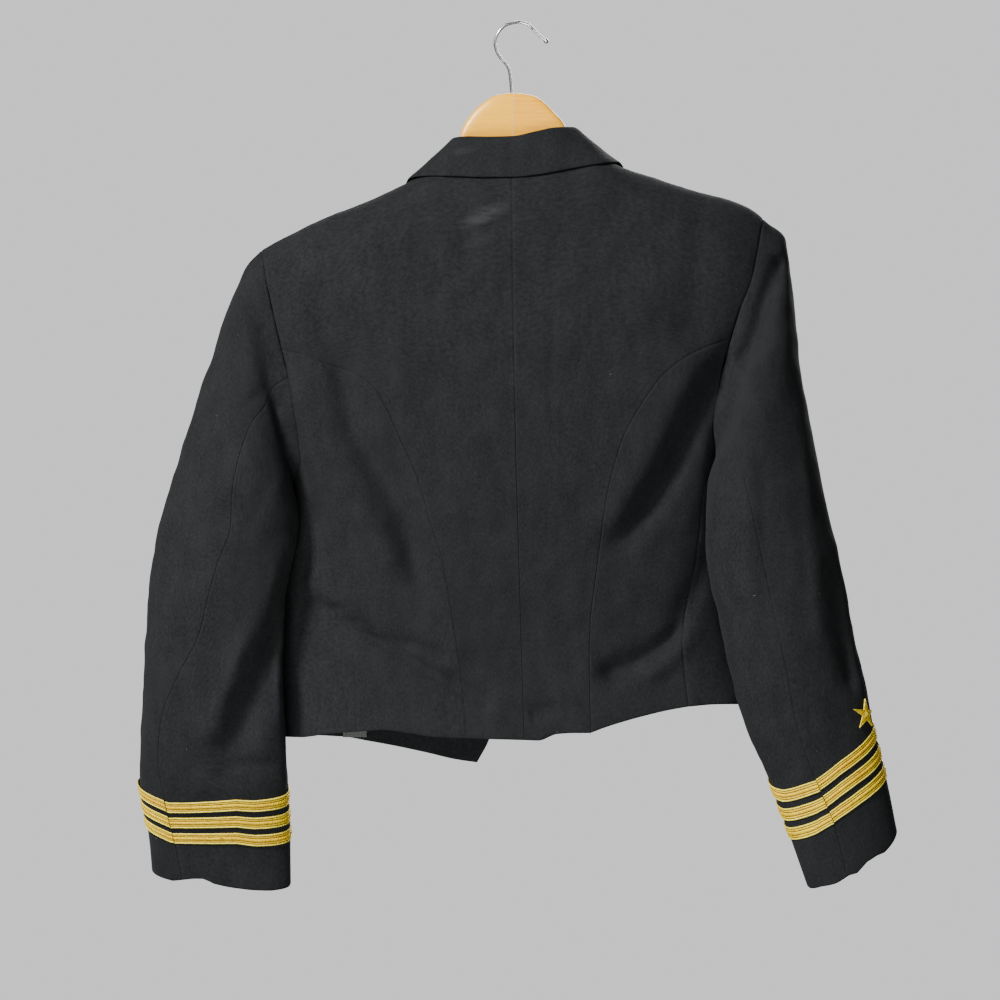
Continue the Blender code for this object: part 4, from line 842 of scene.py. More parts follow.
def ring_turns(side, ring):
    """Turns of the upper sleeve's columns, then of the under sleeve's."""
    back, front = arm_turns(side)
    arm_elbow = arm_turn(side, side.elbow)
    elbow = seam_turn(ring)
    split = ARM_TOP + ARM_SEAM
    upper = np.concatenate([-front[:ARM_FRONT + 1][::-1], back[1:split + 1] * elbow / arm_elbow])
    low_share = (back[split:] - arm_elbow) / (math.pi - arm_elbow)
    under = np.concatenate([elbow + low_share * (math.pi - elbow), 2 * math.pi - front[ARM_FRONT:-1][::-1]])
    return upper, under


def between(first, second, share):
    return Ring(*(np.array(first) + (np.array(second) - np.array(first)) * share))


def lace_shares():
    """Shares of the way from the top of the first lace to the foot of the last one."""
    whole = LACE_COUNT * LACE_WIDTH + (LACE_COUNT - 1) * LACE_GAP
    starts = [index * (LACE_WIDTH + LACE_GAP) for index in range(LACE_COUNT)]
    return [(start / whole, (start + LACE_WIDTH) / whole) for start in starts]


# How far each cuff's hem strays from its ring, as seen from behind: across and millimetres down
CUFF_HEMS = {"left": [(150, 0), (160, 1.5), (172, 2.5), (186, -1), (201, -4), (212, 0), (222, 2),
                      (250, 3), (270, 2.5), (290, 0)],
             "right": [(807, 0), (820, -1), (835, 1.5), (848, 0), (856, 2.5), (866, -2), (876, -1),
                       (884, 2.5), (892, 2), (899, 0)]}
HEM_REACH = 26.0


def stray_hem(side, points, share_down, hem_length):
    """Let the turned hem of a cuff waver."""
    table = np.array(CUFF_HEMS[side.name], float)
    across = across_of(points)
    near = np.interp(across, table[:, 0], table[:, 1])
    far = 1.6 * unevenness(points[..., :3], 31, 0.045)
    low = np.clip(1 - (1 - share_down) * hem_length / HEM_REACH, 0, 1) ** 2
    moved = points.copy()
    moved[..., 2] -= np.where(points[..., 3] > 0, near, far) * low[:, None] / 1000
    return moved


def press_folds(points, folds, hidden):
    """Push sleeve points out by the folds of the side that they face."""
    place, nearness = points[..., :3].copy(), points[..., 3]
    across, down = across_of(place), CROWN_DOWN - place[..., 2] * 1000
    seen = fold_depth(folds, across, down) * np.clip(1.6 * nearness, 0, 1)
    behind = fold_depth(hidden, across, down) * np.clip(-1.6 * nearness, 0, 1)
    place[..., 1] += (seen - behind) / 1000
    return place


def sleeve_grids(side):
    """The upper and under sleeve grids from the armhole to the hem, and their share down it."""
    back, front = arm_turns(side)
    arm_back = armhole(side, back, True)
    arm_front = armhole(side, front, False)
    split = ARM_TOP + ARM_SEAM
    tops = (np.vstack([arm_front[:ARM_FRONT + 1][::-1], arm_back[1:split + 1]]),
            np.vstack([arm_back[split:], arm_front[ARM_FRONT:-1][::-1]]))
    rings = list(side.rings[:-2])
    for start, end in lace_shares():
        rings += [between(side.rings[-3], side.rings[-2], share) for share in (start, end) if 0 < share < 1]
    rings += list(side.rings[-2:])
    grids = []
    for part, top in enumerate(tops):
        first = body_point(top[:, 0], top[:, 1])
        rows = [np.concatenate([first, np.zeros((len(first), 1))], axis=-1)]
        rows += [ring_point(ring, ring_turns(side, ring)[part]) for ring in rings]
        rows = np.array(rows)
        gaps = np.linalg.norm(np.diff(rows[..., :3], axis=0), axis=-1).mean(-1)
        run = np.concatenate([[0], np.cumsum(gaps)])
        at = np.linspace(0, run[-1], SLEEVE_ROWS + 1)
        fine = stray_hem(side, smooth(run, rows, at), at / run[-1], run[-1] * 1000)
        columns = np.arange(fine.shape[1])
        closer = np.linspace(0, columns[-1], 2 * len(columns) - 1)
        fine = np.swapaxes(smooth(columns, np.swapaxes(fine, 0, 1), closer), 0, 1)
        cuff = smooth([0, 0.05, 0.74, 0.84, 1], [1, 1, 1, 0, 0.2], at / run[-1])
        waver = np.repeat(cuff[:, None], fine.shape[1], axis=1)
        grids.append((press_folds(fine, side.folds, side.hidden), waver))
    return grids


for side in (LEFT, RIGHT):
    (upper, upper_waver), (under, under_waver) = sleeve_grids(side)
    panel = sew_panel(f"wool_upper_sleeve_{side.name}", upper, side.sign, upper_waver)
    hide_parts(f"upper_sleeve_{side.name}")
    panel = sew_panel(f"wool_under_sleeve_{side.name}", under, side.sign, under_waver)
    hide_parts(f"under_sleeve_{side.name}")

# The lapels
# Wool folded back along the roll line of each front and pressed flat on it. The photograph
# doesn't show them, so they are plain.
LAPEL_ROLL = {"left": [(458, 218), (464, 260), (474, 320), (486, 400), (495, 480), (499, 538)],
              "right": [(574, 204), (570, 260), (566, 320), (562, 400), (560, 480), (561, 538)]}
LAPEL_EDGE = {"left": [(392, 232), (399, 275), (417, 335), (444, 412), (470, 480), (492, 536)],
              "right": [(640, 218), (634, 262), (622, 325), (602, 405), (584, 478), (568, 536)]}
LAPEL_OFF = 0.0030
LAPEL_ROWS = 96
LAPEL_COLUMNS = 26

for side in (LEFT, RIGHT):
    at = np.linspace(0, 1, LAPEL_ROWS + 1)
    roll = along(LAPEL_ROLL[side.name], at)[:, None]
    edge = along(LAPEL_EDGE[side.name], at)[:, None]
    spread = roll + (edge - roll) * np.linspace(0, 1, LAPEL_COLUMNS + 1)[None, :, None]
    turns = body_angle(spread[..., 0], spread[..., 1], False, side.sign < 0)
    grid = body_point(turns, spread[..., 1]) - [0, LAPEL_OFF, 0]
    lapel = sew_panel(f"wool_lapel_{side.name}", grid, side.sign, 0.3, 0.0018)
    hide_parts(f"lapel_{side.name}")

# The collar
# Stand and fall cut in one piece of wool over a stiff undercollar: the stand rises from the
# neck seam, rolls over at the top and falls outside it to an even turned edge.
Station = namedtuple("Station", "foot roll edge")
COLLAR = [
    Station((453, 211, None), (455, 208, -40), (405, 211, None)),
    Station((446, 188, None), (453, 176, -27), (404, 196, None)),
    Station((442.5, 167.5, 0), (454, 148, -9), (409, 179.5, 0)),
    Station((449, 168, None), (457, 138.5, 4), (427, 177.5, None)),
    Station((466, 170, None), (468, 137.5, 14), (452, 178, None)),
    Station((488, 170.5, None), (488, 138, 19), (482, 179, None)),
    Station((512, 169.5, None), (512, 137.5, 20), (512, 179, None)),
    Station((536, 166.5, None), (534, 133, 19), (541, 176, None)),
    Station((560, 161.5, None), (556, 128.5, 14), (573, 170, None)),
    Station((578, 156, None), (571, 128, 4), (599, 165.5, None)),
    Station((589, 154.5, 0), (577, 138, -9), (619, 163.5, 0)),
    Station((583, 174, None), (576, 164, -27), (627, 180, None)),
    Station((577, 198, None), (574, 194, -40), (628, 196, None)),
]
COLLAR_STATIONS = 130
COLLAR_SIDES = 100
COLLAR_FOOT_CLEAR = 4.0
COLLAR_EDGE_CLEAR = 1.6
COLLAR_HALF = 0.001
COLLAR_STEP = 0.0028


def collar_place(spot, right, lift, on_back):
    """World point of a collar place; one with no depth lies on the body, lifted off it."""
    across, down, depth = spot
    if depth is None:
        return body_point(body_angle(across, down, on_back, right), np.array(float(down)), lift)
    return drawn(across, depth, down)


feet, rolls, edges = [], [], []
for index, station in enumerate(COLLAR):
    right = index > len(COLLAR) // 2
    on_back = 2 <= index <= len(COLLAR) - 3
    feet.append(collar_place(station.foot, right, 0.0 if on_back else COLLAR_FOOT_CLEAR, on_back))
    rolls.append(collar_place(station.roll, right, 0.0, on_back))
    edges.append(collar_place(station.edge, right, COLLAR_EDGE_CLEAR, on_back))
at = np.linspace(0, 1, COLLAR_STATIONS)
table_at = np.linspace(0, 1, len(COLLAR))
feet = smooth(table_at, np.array(feet), at)
rolls = smooth(table_at, np.array(rolls), at)
edges = smooth(table_at, np.array(edges), at)
tangents = unit(np.gradient(rolls, axis=0))
stand_way = unit(rolls - feet)
out = unit(np.cross(tangents, stand_way))
fall_way = unit(edges - rolls)
fall_out = unit(np.cross(fall_way, tangents))
turned_round = ((fall_out * out).sum(-1) < 0) & (fall_out[:, 2] < 0)
fall_out[turned_round] *= -1
foot_mid = feet + stand_way * 0.0009 - out * 0.001
fall_top = rolls + out * 0.0026 - stand_way * 0.0005
fall_mid = (fall_top + edges) / 2 + fall_out * 0.0015
section = np.array([
    foot_mid - out * COLLAR_HALF,
    rolls - out * COLLAR_HALF - stand_way * 0.0015,
    rolls - out * 0.0002 + stand_way * 0.0006,
    rolls + out * 0.0022 + stand_way * 0.0009,
    fall_top + out * 0.0016,
    fall_mid + fall_out * 0.002,
    edges + fall_out * 0.002,
    edges,
    fall_mid,
    fall_top - out * 0.0003 - stand_way * 0.0015,
    rolls + out * COLLAR_HALF - stand_way * 0.0019,
    foot_mid + out * COLLAR_HALF,
]).transpose(1, 0, 2)
collar_points = []
collar_cut = []
for number, corners in enumerate(section):
    closed = np.vstack([corners, corners[:1]])
    run = np.concatenate([[0], np.cumsum(np.linalg.norm(np.diff(closed, axis=0), axis=1))])
    steps = np.linspace(0, run[-1], COLLAR_SIDES + 1)[:-1]
    ring = np.column_stack([np.interp(steps, run, closed[:, axis]) for axis in range(3)])
    for _ in range(2):
        ring = ring * 0.5 + (np.roll(ring, 1, axis=0) + np.roll(ring, -1, axis=0)) * 0.25
    collar_points.append(ring)
    collar_cut.append(np.column_stack([np.full(COLLAR_SIDES, number * COLLAR_STEP), steps]))
faces = tube_faces(COLLAR_STATIONS, COLLAR_SIDES)
collar = make_mesh("wool_collar", np.vstack(collar_points), faces, wool, np.vstack(collar_cut))
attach(collar, "root")
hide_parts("collar")

# The gold lace on the cuffs
# Three rings of half inch ribbed lace round each cuff, a quarter inch apart: two narrow cords
# at the edges and a broad twisted one between, woven of gilt thread over yellow silk. Each
# ring starts and ends at the elbow seam.
LACE_CLEAR = 0.00035
LACE_STEPS = 470
LACE_PITCH = 0.0026
# Share of the width and height in millimetres along the section of the lace
LACE_RIBS = [(0.0, 0.8), (0.02, 1.25), (0.06, 1.6), (0.10, 1.5), (0.125, 1.1), (0.14, 0.6),
             (0.185, 0.6), (0.2, 1.0), (0.225, 1.2), (0.28, 1.2), (0.305, 1.0), (0.325, 0.58),
             (0.37, 0.58), (0.39, 1.3), (0.43, 1.65), (0.50, 1.8), (0.57, 1.65), (0.61, 1.3),
             (0.63, 0.58), (0.675, 0.58), (0.695, 1.0), (0.72, 1.2), (0.775, 1.2), (0.8, 1.0),
             (0.815, 0.6), (0.86, 0.6), (0.875, 1.1), (0.90, 1.5), (0.94, 1.6), (0.98, 1.25),
             (1.0, 0.8)]
LACE_SEWN = 0.0127
GOLD_BRIGHT = (1.0, 0.70, 0.0, 1)
GOLD_SILK = (0.92, 0.54, 0.0, 1)
GOLD_WEAR_AND_SHADE = (0.075, 0.040, 0.0, 1)
GOLD_PALE = (1.0, 0.86, 0.08, 1)

lace_gold, tree, shader = new_material("gold_lace_thread")
cut = cut_place(tree)
place = object_place(tree)
threads = ribs(tree, turned(tree, cut, rotation=(0, 0, math.radians(35))), 0.0007, 0.4)
worn = noise(tree, place, 420, 4.0, 0.65)
patches = noise(tree, place, 38, 3.0, 0.6)
height = add_node(tree, "ShaderNodeAttribute", attribute_name="painted_shade_level").outputs["Fac"]
pale = add_node(tree, "ShaderNodeAttribute", attribute_name="pale_edge").outputs["Fac"]
gold_colour = mix_colours(tree, stretch(tree, patches, 0.3, 0.7), GOLD_SILK, GOLD_BRIGHT)
gold_colour = mix_colours(tree, pale, gold_colour, GOLD_PALE)
gold_colour = mix_colours(tree, stretch(tree, worn, 0.40, 0.60, 0.28, 0.0), gold_colour, GOLD_WEAR_AND_SHADE)
# Painted shade: where the shade level is low (the grooves between the cords, the dips of the twisted cord and
# the underside) the gold is darkened
gold_colour = mix_colours(tree, stretch(tree, height, 0.32, 0.56, 0.92, 0.0), gold_colour, GOLD_WEAR_AND_SHADE)
join(tree, gold_colour, shader.inputs["Base Color"])
shader.inputs["Metallic"].default_value = 0.3
join(tree, stretch(tree, worn, 0.3, 0.7, 0.38, 0.62), shader.inputs["Roughness"])
raise_surface(tree, shader, sum_up(tree, "ADD", threads, worn), 0.5, 0.0002)

# How far the lace was eased up on each cuff as it was sewn: across and millimetres
LACE_EASE = {"left": [(140, 6), (150, 3), (160, 0), (170, -3), (185, -2.5), (210, -1), (237, 1),
                      (255, -0.5), (290, 0)],
             "right": [(769, 1), (782, -1), (800, 0), (815, 0), (826, 1.5), (840, 3.5), (858, 4),
                       (880, 3), (890, 3)]}


def lay_lace(side, name, start, end):
    """One ring of lace round a cuff, as a closed band with corded ribs."""
    steps = np.linspace(0, 1, LACE_STEPS + 1)
    drop = side.rings[-2].out_down - side.rings[-3].out_down
    lines = []
    for share in (start, end):
        ring = between(side.rings[-3], side.rings[-2], share)
        turns = seam_turn(ring) + 0.006 + steps * (2 * math.pi - 0.012)
        bare = ring_point(ring, turns)
        eased = np.interp(across_of(bare), *np.array(LACE_EASE[side.name], float).T)
        eased *= np.clip(1 + 1.2 * np.minimum(bare[:, 3], 0), 0, 1)
        first, second = np.array(side.rings[-3]), np.array(side.rings[-2])
        moved = first[:, None] + (second - first)[:, None] * (share - eased / drop)
        lines.append(press_folds(ring_point(Ring(*moved), turns), side.folds, side.hidden))
    top, foot = lines
    run = np.gradient((top + foot) / 2, axis=0)
    outwards = unit(np.cross(foot - top, run))
    middle = (top + foot).mean(0) / 2
    if ((top - middle) * outwards).sum() < 0:
        outwards = -outwards
    length = np.concatenate([[0], np.cumsum(np.linalg.norm(run[1:], axis=1))])
    # The lace was eased on by hand: it wanders a little, and its end is turned under at the seam
    wander = 0.0005 * unevenness(top, 21, 0.075) + 0.0011 * np.exp(-length / 0.005)
    top = top + unit(foot - top) * wander[:, None]
    foot = foot + unit(foot - top) * wander[:, None]
    lift = 1 + 0.35 * np.exp(-(length[-1] - length) / 0.003)
    rib_at = np.array([rib[0] for rib in LACE_RIBS])
    rib_high = np.array([rib[1] for rib in LACE_RIBS])
    middle_rib = np.exp(-((rib_at - 0.5) / 0.13) ** 4)
    edge_rib = np.exp(-((rib_at - 0.07) / 0.07) ** 4) + np.exp(-((rib_at - 0.93) / 0.07) ** 4)
    slant = length[:, None] / LACE_PITCH + (rib_at - 0.5)[None, :] * 2.6
    cord = np.cos(2 * math.pi * slant)
    high = rib_high + 0.26 * cord * middle_rib + 0.16 * cord * edge_rib
    band = top[:, None] + (foot - top)[:, None] * rib_at[None, :, None]
    outer = band + outwards[:, None] * (high * lift[:, None])[..., None] * 0.001
    inner = band + outwards[:, None] * LACE_CLEAR
    points = np.vstack([outer.reshape(-1, 3), inner.reshape(-1, 3)])
    cut_map = np.stack(np.broadcast_arrays(length[:, None], rib_at[None, :] * LACE_SEWN), axis=-1)
    cut_map = np.vstack([cut_map.reshape(-1, 2)] * 2)
    piece = make_mesh(name, points, wall_faces(*outer.shape[:2]), lace_gold, cut_map, 70)
    # Painted shade level of each point: half its rib's height, less dark dashes in the dips of the twisted
    # middle cord; the underside is all painted shade
    shade = (high / 2 - 0.42 * (cord < -0.5) * middle_rib ** 3).ravel()
    painted_shade_levels = np.concatenate([shade, np.full(high.size, 0.1)])
    piece.data.attributes.new("painted_shade_level", "FLOAT", "POINT").data.foreach_set("value", painted_shade_levels)
    pale_edges = np.tile(np.clip(edge_rib, 0, 1), 2 * len(high))
    piece.data.attributes.new("pale_edge", "FLOAT", "POINT").data.foreach_set("value", pale_edges)
    return piece


for side in (LEFT, RIGHT):
    for number, (start, end) in enumerate(lace_shares(), 1):
        lace = lay_lace(side, f"ribbed_lace_{side.name}_{number}", start, end)
        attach(lace, "root")
        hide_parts(f"lace_{side.name}_{number}")

# The embroidered stars
# A five-pointed star of gilt bullion above the lace on each sleeve, one ray up: satin stitch
# over a padded core that makes a crest along each ray, with a cord round the edge.
STAR_RADIUS = 15.5
STAR_WAIST = 5.2
STAR_LEAN = {"left": 2.1, "right": 1.3}
STAR_ABOVE_LACE = 24.5
STAR_CLEAR = 0.8
STAR_CORNERS = 10
STAR_CELLS = 14
STAR_KNOT = 2.4


def star_bed(side):
    """A reader of sleeve points and outward normals from places on the star, in millimetres."""
    lower, upper = side.rings[-3], side.rings[-4]
    small = 0.01

    def spot(turn, share):
        ring = between(lower, upper, share)
        return ring_point(ring, np.array(seam_turn(ring) - STAR_LEAN[side.name] + turn))[:3]

    middle = STAR_ABOVE_LACE / 1000 / np.linalg.norm(spot(0, 1) - spot(0, 0))
    beside = (spot(small, middle) - spot(0, middle)) / small
    above = (spot(0, middle + small) - spot(0, middle)) / small
    facing = unit(np.cross(beside, above))
    upwards = unit(np.array([0, 0, 1.0]) - facing * facing[2])
    sideways = np.cross(upwards, facing)
    to_sleeve = np.linalg.pinv(np.column_stack([beside, above]))

    def on_sleeve(x, y):
        turn, share = to_sleeve @ ((sideways * x + upwards * y) / 1000)
        share += middle
        point = spot(turn, share)
        normal = unit(np.cross(spot(turn + small, share) - point, spot(turn, share + small) - point))
        ring = between(lower, upper, share)
        core = (ring_point(ring, np.array(0.0))[:3] + ring_point(ring, np.array(math.pi))[:3]) / 2
        return point, normal * np.sign(np.dot(normal, point - core))

    return on_sleeve


star_gold = lace_gold.copy()
star_gold.name = "gold_bullion"
for side in (LEFT, RIGHT):
    corner_angles = [math.pi / 2 + step * 2 * math.pi / STAR_CORNERS for step in range(STAR_CORNERS)]
    corner_radii = [STAR_RADIUS if step % 2 == 0 else STAR_WAIST for step in range(STAR_CORNERS)]
    points, faces, cut_map, painted_shade_levels, pale_shares, lookup = [], [], [], [], [], {}
    on_sleeve = star_bed(side)

    # level is the point's painted shade level, low being darker; pale_share makes its gold paler
    def star_point(x, y, height, level=0.6, pale_share=0.3):
        key = (round(x, 4), round(y, 4), height < 0)
        if key not in lookup:
            spot, normal = on_sleeve(x, y)
            lookup[key] = len(points)
            points.append(spot + normal * (STAR_CLEAR + max(height, 0.0)) * 0.001)
            cut_map.append((x / 1000, y / 1000))
            painted_shade_levels.append(level)
            pale_shares.append(pale_share)
        return lookup[key]

    for step in range(STAR_CORNERS):
        after = (step + 1) % STAR_CORNERS
        a = np.array([math.cos(corner_angles[step]), math.sin(corner_angles[step])]) * corner_radii[step]
        b = np.array([math.cos(corner_angles[after]), math.sin(corner_angles[after])]) * corner_radii[after]
        ray = a if corner_radii[step] == STAR_RADIUS else b
        ray_way = ray / np.linalg.norm(ray)

        def facet(i, j):
            """A place on the facet: i from the centre out, j from one edge to the other."""
            spot = (a + (b - a) * (j / i if i else 0.0)) * (i / STAR_CELLS)
            off_ray = abs(spot[0] * ray_way[1] - spot[1] * ray_way[0])
            reach = max(np.dot(spot, ray_way), 0)
            stitch = math.cos(2 * math.pi * (reach + off_ray * 0.8) / 1.5)
            rim = math.exp(-((STAR_CELLS - i) / 1.5) ** 4)
            groove = math.exp(-((STAR_CELLS - i - 3.2) / 1.2) ** 2)
            from_middle = math.hypot(*spot)
            knot = math.sqrt(max(1 - (from_middle / STAR_KNOT) ** 2, 0))
            padded_high = 2.0 - 0.060 * reach - 0.22 * off_ray + 0.12 * stitch + 0.35 * rim - 0.25 * groove
            knot_edge = math.exp(-((from_middle - STAR_KNOT) / 0.5) ** 2)
            # Painted shade: a little along the satin stitches, more in the groove inside the edge cord and
            # round the middle knot
            level = 0.62 + 0.08 * stitch - 0.14 * groove - 0.12 * knot_edge
            return star_point(spot[0], spot[1], max(padded_high + 0.9 * knot, 0.5), level, max(rim, knot))

        for i in range(STAR_CELLS):
            for j in range(i + 1):
                faces.append((facet(i, j), facet(i + 1, j), facet(i + 1, j + 1)))
                if j < i:
                    faces.append((facet(i, j), facet(i + 1, j + 1), facet(i, j + 1)))
        for j in range(STAR_CELLS):
            here = a + (b - a) * (j / STAR_CELLS)
            there = a + (b - a) * ((j + 1) / STAR_CELLS)
            under_here = star_point(here[0], here[1], -1)
            under_there = star_point(there[0], there[1], -1)
            faces.append((facet(STAR_CELLS, j), under_here, under_there, facet(STAR_CELLS, j + 1)))
            faces.append((under_here, star_point(0, 0, -1), under_there))
    star = make_mesh(f"bullion_star_{side.name}", np.array(points), faces, star_gold, np.array(cut_map), 60)
    star.data.attributes.new("painted_shade_level", "FLOAT", "POINT").data.foreach_set("value", painted_shade_levels)
    star.data.attributes.new("pale_edge", "FLOAT", "POINT").data.foreach_set("value", pale_shares)
    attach(star, "root")
    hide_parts(f"star_{side.name}")

# The buttons
# Three plain domed gilt buttons down each front, struck from sheet brass with a turned rim
# and sewn on by a shank. The photograph doesn't show them.
BUTTON_PLACES = {"left": [(470, 590), (472, 642), (474, 694)], "right": [(592, 590), (594, 640), (600, 690)]}
BUTTON_PROFILE = [(0, 4.6), (2.4, 4.45), (4.8, 4.0), (7.0, 3.2), (8.6, 2.2), (9.5, 1.3), (9.9, 0.95),
                  (10.3, 1.05), (10.8, 0.95), (11.0, 0.5), (10.8, 0.15), (10.2, 0), (6.0, 0.2),
                  (2.4, 0.1), (2.2, -0.4), (2.1, -1.0), (0, -1.0)]
BUTTON_SHANK = 0.001
BUTTON_STEPS = 48
GILT_DARK = (0.72, 0.47, 0.15, 1)
GILT_LIGHT = (0.88, 0.64, 0.25, 1)

gilt, tree, shader = new_material("gilt_brass")
place = object_place(tree)
smears = noise(tree, place, 260, 4.0, 0.6)
gilt_colour = mix_colours(tree, stretch(tree, smears, 0.35, 0.65), GILT_DARK, GILT_LIGHT)
join(tree, gilt_colour, shader.inputs["Base Color"])
shader.inputs["Metallic"].default_value = 1.0
join(tree, stretch(tree, smears, 0.3, 0.7, 0.18, 0.34), shader.inputs["Roughness"])
raise_surface(tree, shader, noise(tree, place, 900, 2.0), 0.12, 0.0001)

work = bmesh.new()
ring = [work.verts.new((x / 1000, 0, z / 1000)) for x, z in BUTTON_PROFILE]
edges = [work.edges.new(pair) for pair in zip(ring, ring[1:])]
bmesh.ops.spin(work, geom=ring + edges, cent=(0, 0, 0), axis=(0, 0, 1), angle=2 * math.pi, steps=BUTTON_STEPS,
               use_duplicate=False)
bmesh.ops.remove_doubles(work, verts=work.verts, dist=0.00002)
bmesh.ops.recalc_face_normals(work, faces=work.faces)
button_mesh = bpy.data.meshes.new("button")
work.to_mesh(button_mesh)
work.free()
button_mesh.materials.append(gilt)
button_mesh.shade_smooth()
button_mesh.set_sharp_from_angle(angle=math.radians(55))
for side in (LEFT, RIGHT):
    for number, (across, down) in enumerate(BUTTON_PLACES[side.name], 1):
        low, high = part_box(f"button_{side.name}_{number}")
        centre = (low + high) / 2
        mesh = button_mesh.copy()
        points = np.zeros(len(mesh.vertices) * 3)
        mesh.vertices.foreach_get("co", points)
        points = points.reshape(-1, 3)
        placed = np.column_stack([points[:, 0] + centre.x, high.y - BUTTON_SHANK - points[:, 2],
                                  points[:, 1] + centre.z])
        mesh.vertices.foreach_set("co", placed.ravel())
        button = bpy.data.objects.new(f"gilt_button_{side.name}_{number}", mesh)
        bpy.context.scene.collection.objects.link(button)
        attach(button, "root")
        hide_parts(f"button_{side.name}_{number}")

# The strip of lining
# Grey-green satin inside the left front, which shows where the back hem rides above it.
LINING_ACROSS = (342, 366)
LINING_TOP = 711.0
LINING_FOOT = 738.5
LINING_STEPS = 25
LINING_IN = 0.0042
LINING_THICK = 0.001
SATIN_DARK = (0.035, 0.042, 0.035, 1)
SATIN_LIGHT = (0.080, 0.090, 0.078, 1)

satin, tree, shader = new_material("lining_satin")
cut = cut_place(tree)
place = object_place(tree)
slubs = noise(tree, turned(tree, cut, scale=(1400, 90, 1)), 1.0, 2.0)
satin_colour = mix_colours(tree, slubs, SATIN_DARK, SATIN_LIGHT)
join(tree, satin_colour, shader.inputs["Base Color"])
shader.inputs["Roughness"].default_value = 0.38
shader.inputs["Sheen Weight"].default_value = 0.25
raise_surface(tree, shader, slubs, 0.3, 0.0001)

spread = np.stack(np.meshgrid(np.linspace(*LINING_ACROSS, LINING_STEPS),
                              np.linspace(LINING_TOP, LINING_FOOT, LINING_STEPS)), axis=-1)
turns = body_angle(spread[..., 0], spread[..., 1], False)
grid = body_point(turns, spread[..., 1]) + [0, LINING_IN, 0]
points = np.vstack([grid.reshape(-1, 3), grid.reshape(-1, 3) - [0, LINING_THICK, 0]])
cut_map = (spread / 1000).reshape(-1, 2)
lining = make_mesh("satin_lining_left", points, wall_faces(LINING_STEPS, LINING_STEPS), satin,
                   np.vstack([cut_map, cut_map]))
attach(lining, "root")
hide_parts("lining_left")

# The wooden hanger
# Two shaped halves of varnished beech, glued together at the middle. Only the hump that
# stands above the collar shows; the arms lie inside the shoulders.
# Across, top, foot, depth and thickness along each arm
ARMS = {
    "left": [(513, 93, 160, 0, 13), (503, 93.8, 160, 0, 13), (494, 96, 161, 0, 13),
             (484, 102, 163, 0, 13), (473, 112, 167, 0, 13), (463, 127, 172, 0, 13),
             (459.5, 138, 176, 0, 13), (456, 163, 182, 0, 12), (440, 174, 196, -1, 12),
             (404, 191, 218, -3, 14), (346, 216, 244, -7, 15), (300, 235.5, 260, -9, 16),
             (285, 246, 258, -10, 14)],
    "right": [(513, 93, 160, 0, 13), (523, 93.8, 160, 0, 13), (534, 96, 160, 0, 13),
              (544, 102, 160, 0, 13), (554, 112, 160, 0, 13), (564, 124, 162, 0, 13),
              (567.5, 134, 165, 0, 13), (572, 153, 170, 0, 12), (590, 161, 182, -1, 12),
              (624, 175, 199, -3, 14), (690, 195.5, 223, -7, 15), (735, 210.5, 236, -9, 16),
              (750, 220, 234, -10, 14)],
}
ARM_SIDES = 40
ARM_SECTIONS = 90
WOOD_JOINT = 0.15
WOOD_FLECK = (0.30, 0.12, 0.02, 1)
# Grain colours of each half: the right half's are a little darker than the left's, as painted shade on one of
# two halves of the same beech
BEECH_RIGHT_SHADED = {"left": ((1.0, 0.50, 0.012, 1), (0.92, 0.41, 0.006, 1)),
         "right": ((1.0, 0.47, 0.010, 1), (0.88, 0.37, 0.005, 1))}


def beech_wood(name, light, dark, lean):
    """Varnished beech with grain along the arm and short dark flecks."""
    made, tree, shader = new_material(name)
    place = object_place(tree)
    grain_place = turned(tree, place, (0, lean, 0), (26, 260, 420))
    grain = noise(tree, grain_place, 1.0, 5.0, 0.6)
    fleck_place = turned(tree, place, (0, lean, 0), (260, 900, 2600))
    flecks = stretch(tree, noise(tree, fleck_place, 1.0, 1.0), 0.66, 0.74)
    colour = mix_colours(tree, stretch(tree, grain, 0.36, 0.68), light, dark)
    colour = mix_colours(tree, sum_up(tree, "MULTIPLY", flecks, 0.45), colour, WOOD_FLECK)
    join(tree, colour, shader.inputs["Base Color"])
    join(tree, stretch(tree, grain, 0.3, 0.7, 0.30, 0.42), shader.inputs["Roughness"])
    shader.inputs["Coat Weight"].default_value = 0.12
    shader.inputs["Coat Roughness"].default_value = 0.22
    raise_surface(tree, shader, grain, 0.18, 0.0003)
    return made


for name, rows in ARMS.items():
    wood = beech_wood(f"beech_{name}", *BEECH_RIGHT_SHADED[name], math.radians(-20 if name == "left" else 20))
    rows = np.array(rows, float)
    way = -1 if name == "left" else 1
    rows[0, 0] += way * WOOD_JOINT
    run = np.concatenate([[0], np.cumsum(np.linalg.norm(np.diff(rows[:, :2], axis=0), axis=1))])
    fine = smooth(run, rows, np.linspace(0, run[-1], ARM_SECTIONS))
    angle = np.linspace(0, 2 * math.pi, ARM_SIDES, endpoint=False)
    s = signed_power(np.sin(angle), 0.8)
    c = signed_power(np.cos(angle), 0.7)
    sections = [drawn(across, depth + thick / 2 * s, (top + bottom) / 2 - (bottom - top) / 2 * c)
                for across, top, bottom, depth, thick in fine]
    across, top, bottom, depth, thick = rows[-1]
    for share in (0.5, 0.8, 1.0):
        size = math.sqrt(1 - share * share * 0.8)
        sections.append(drawn(across + way * 3 * share, depth + thick / 2 * size * s,
                              (top + bottom) / 2 - (bottom - top) / 2 * size * c))
    faces = tube_faces(len(sections), ARM_SIDES)
    arm = make_mesh(f"beech_hanger_{name}", np.vstack(sections), faces, wood, None, 40)
    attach(arm, "root")
    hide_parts(f"hanger_{name}")

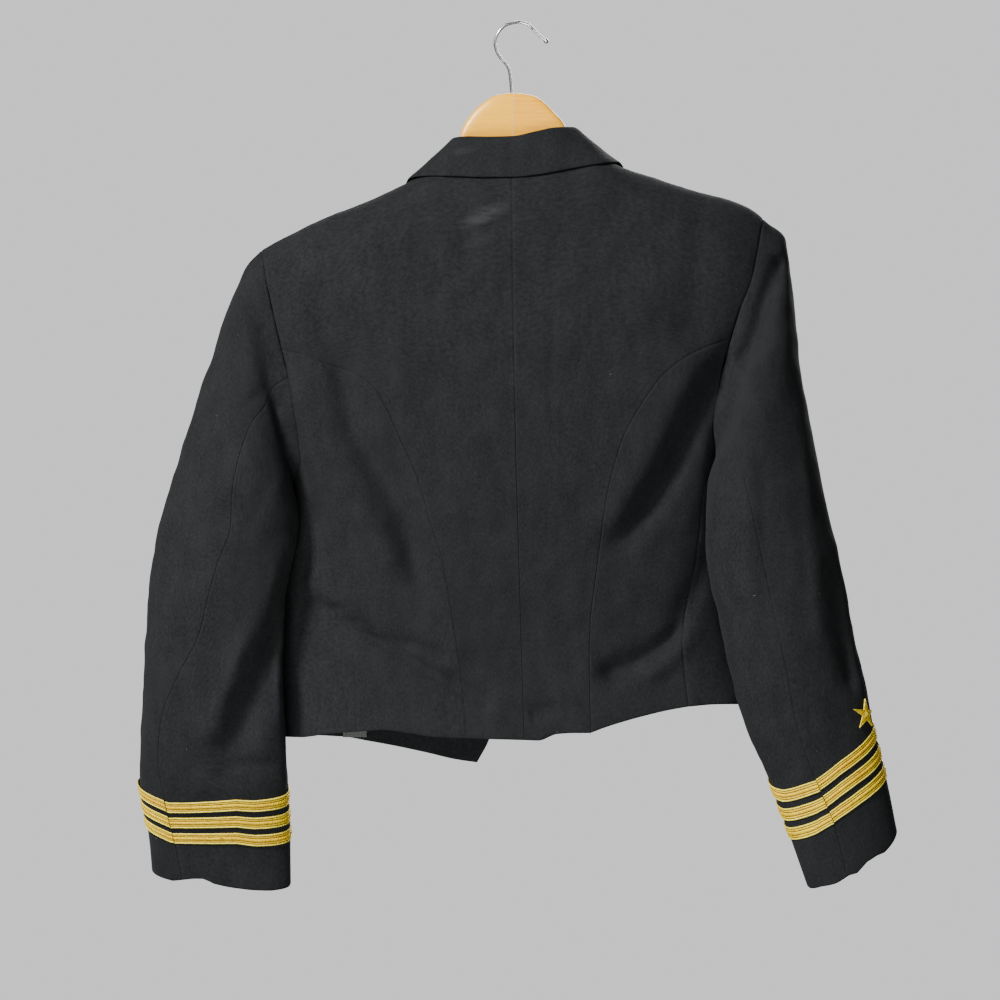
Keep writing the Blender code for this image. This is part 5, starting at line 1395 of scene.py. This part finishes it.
# The hook
# One length of chromed wire bent to a crook over the middle of the hanger, its free end
# closed with a small ball.
HOOK = [(511.5, 92.6), (510.5, 80), (509, 70), (505, 63), (500.5, 58), (496.5, 51), (495, 44),
        (496.5, 36), (501, 29), (508, 24.2), (519, 22.2), (528, 24.5), (534, 30), (539, 35), (545, 40)]
HOOK_STEPS = 120
HOOK_SIDES = 20
WIRE_RADIUS = 0.00145
BALL_RADIUS = 0.0026
CHROME_DARK = (0.55, 0.55, 0.57, 1)
CHROME_LIGHT = (0.74, 0.74, 0.76, 1)

chrome, tree, shader = new_material("chromed_wire")
place = object_place(tree)
haze = noise(tree, place, 500, 3.0, 0.6)
join(tree, mix_colours(tree, haze, CHROME_DARK, CHROME_LIGHT), shader.inputs["Base Color"])
shader.inputs["Metallic"].default_value = 1.0
join(tree, stretch(tree, haze, 0.3, 0.7, 0.12, 0.28), shader.inputs["Roughness"])
raise_surface(tree, shader, haze, 0.05, 0.0001)

route = along(HOOK, np.linspace(0, 1, HOOK_STEPS))
route_points = drawn(route[:, 0], 0.0, route[:, 1])
ways = unit(np.gradient(route_points, axis=0))
beside = np.array([0.0, 1.0, 0.0])
across_way = unit(np.cross(ways, beside))
turns = np.linspace(0, 2 * math.pi, HOOK_SIDES, endpoint=False)
tube = route_points[:, None] + WIRE_RADIUS * (across_way[:, None] * np.cos(turns)[None, :, None]
                                             + beside * np.sin(turns)[None, :, None])
hook = make_mesh("chrome_hook", tube.reshape(-1, 3), tube_faces(HOOK_STEPS, HOOK_SIDES), chrome)
bpy.ops.object.select_all(action="DESELECT")
ball_centre = drawn(HOOK[-1][0] + 1.2, 0.0, HOOK[-1][1] + 1.0)
bpy.ops.mesh.primitive_uv_sphere_add(segments=28, ring_count=18, radius=BALL_RADIUS, location=ball_centre)
ball = bpy.context.object
bpy.ops.object.transform_apply(location=True, rotation=True, scale=True)
bpy.ops.object.shade_smooth()
ball.data.materials.append(chrome)
hook.select_set(True)
bpy.context.view_layer.objects.active = hook
bpy.ops.object.join()
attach(hook, "root")
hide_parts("hook")

bpy.ops.object.select_all(action="DESELECT")
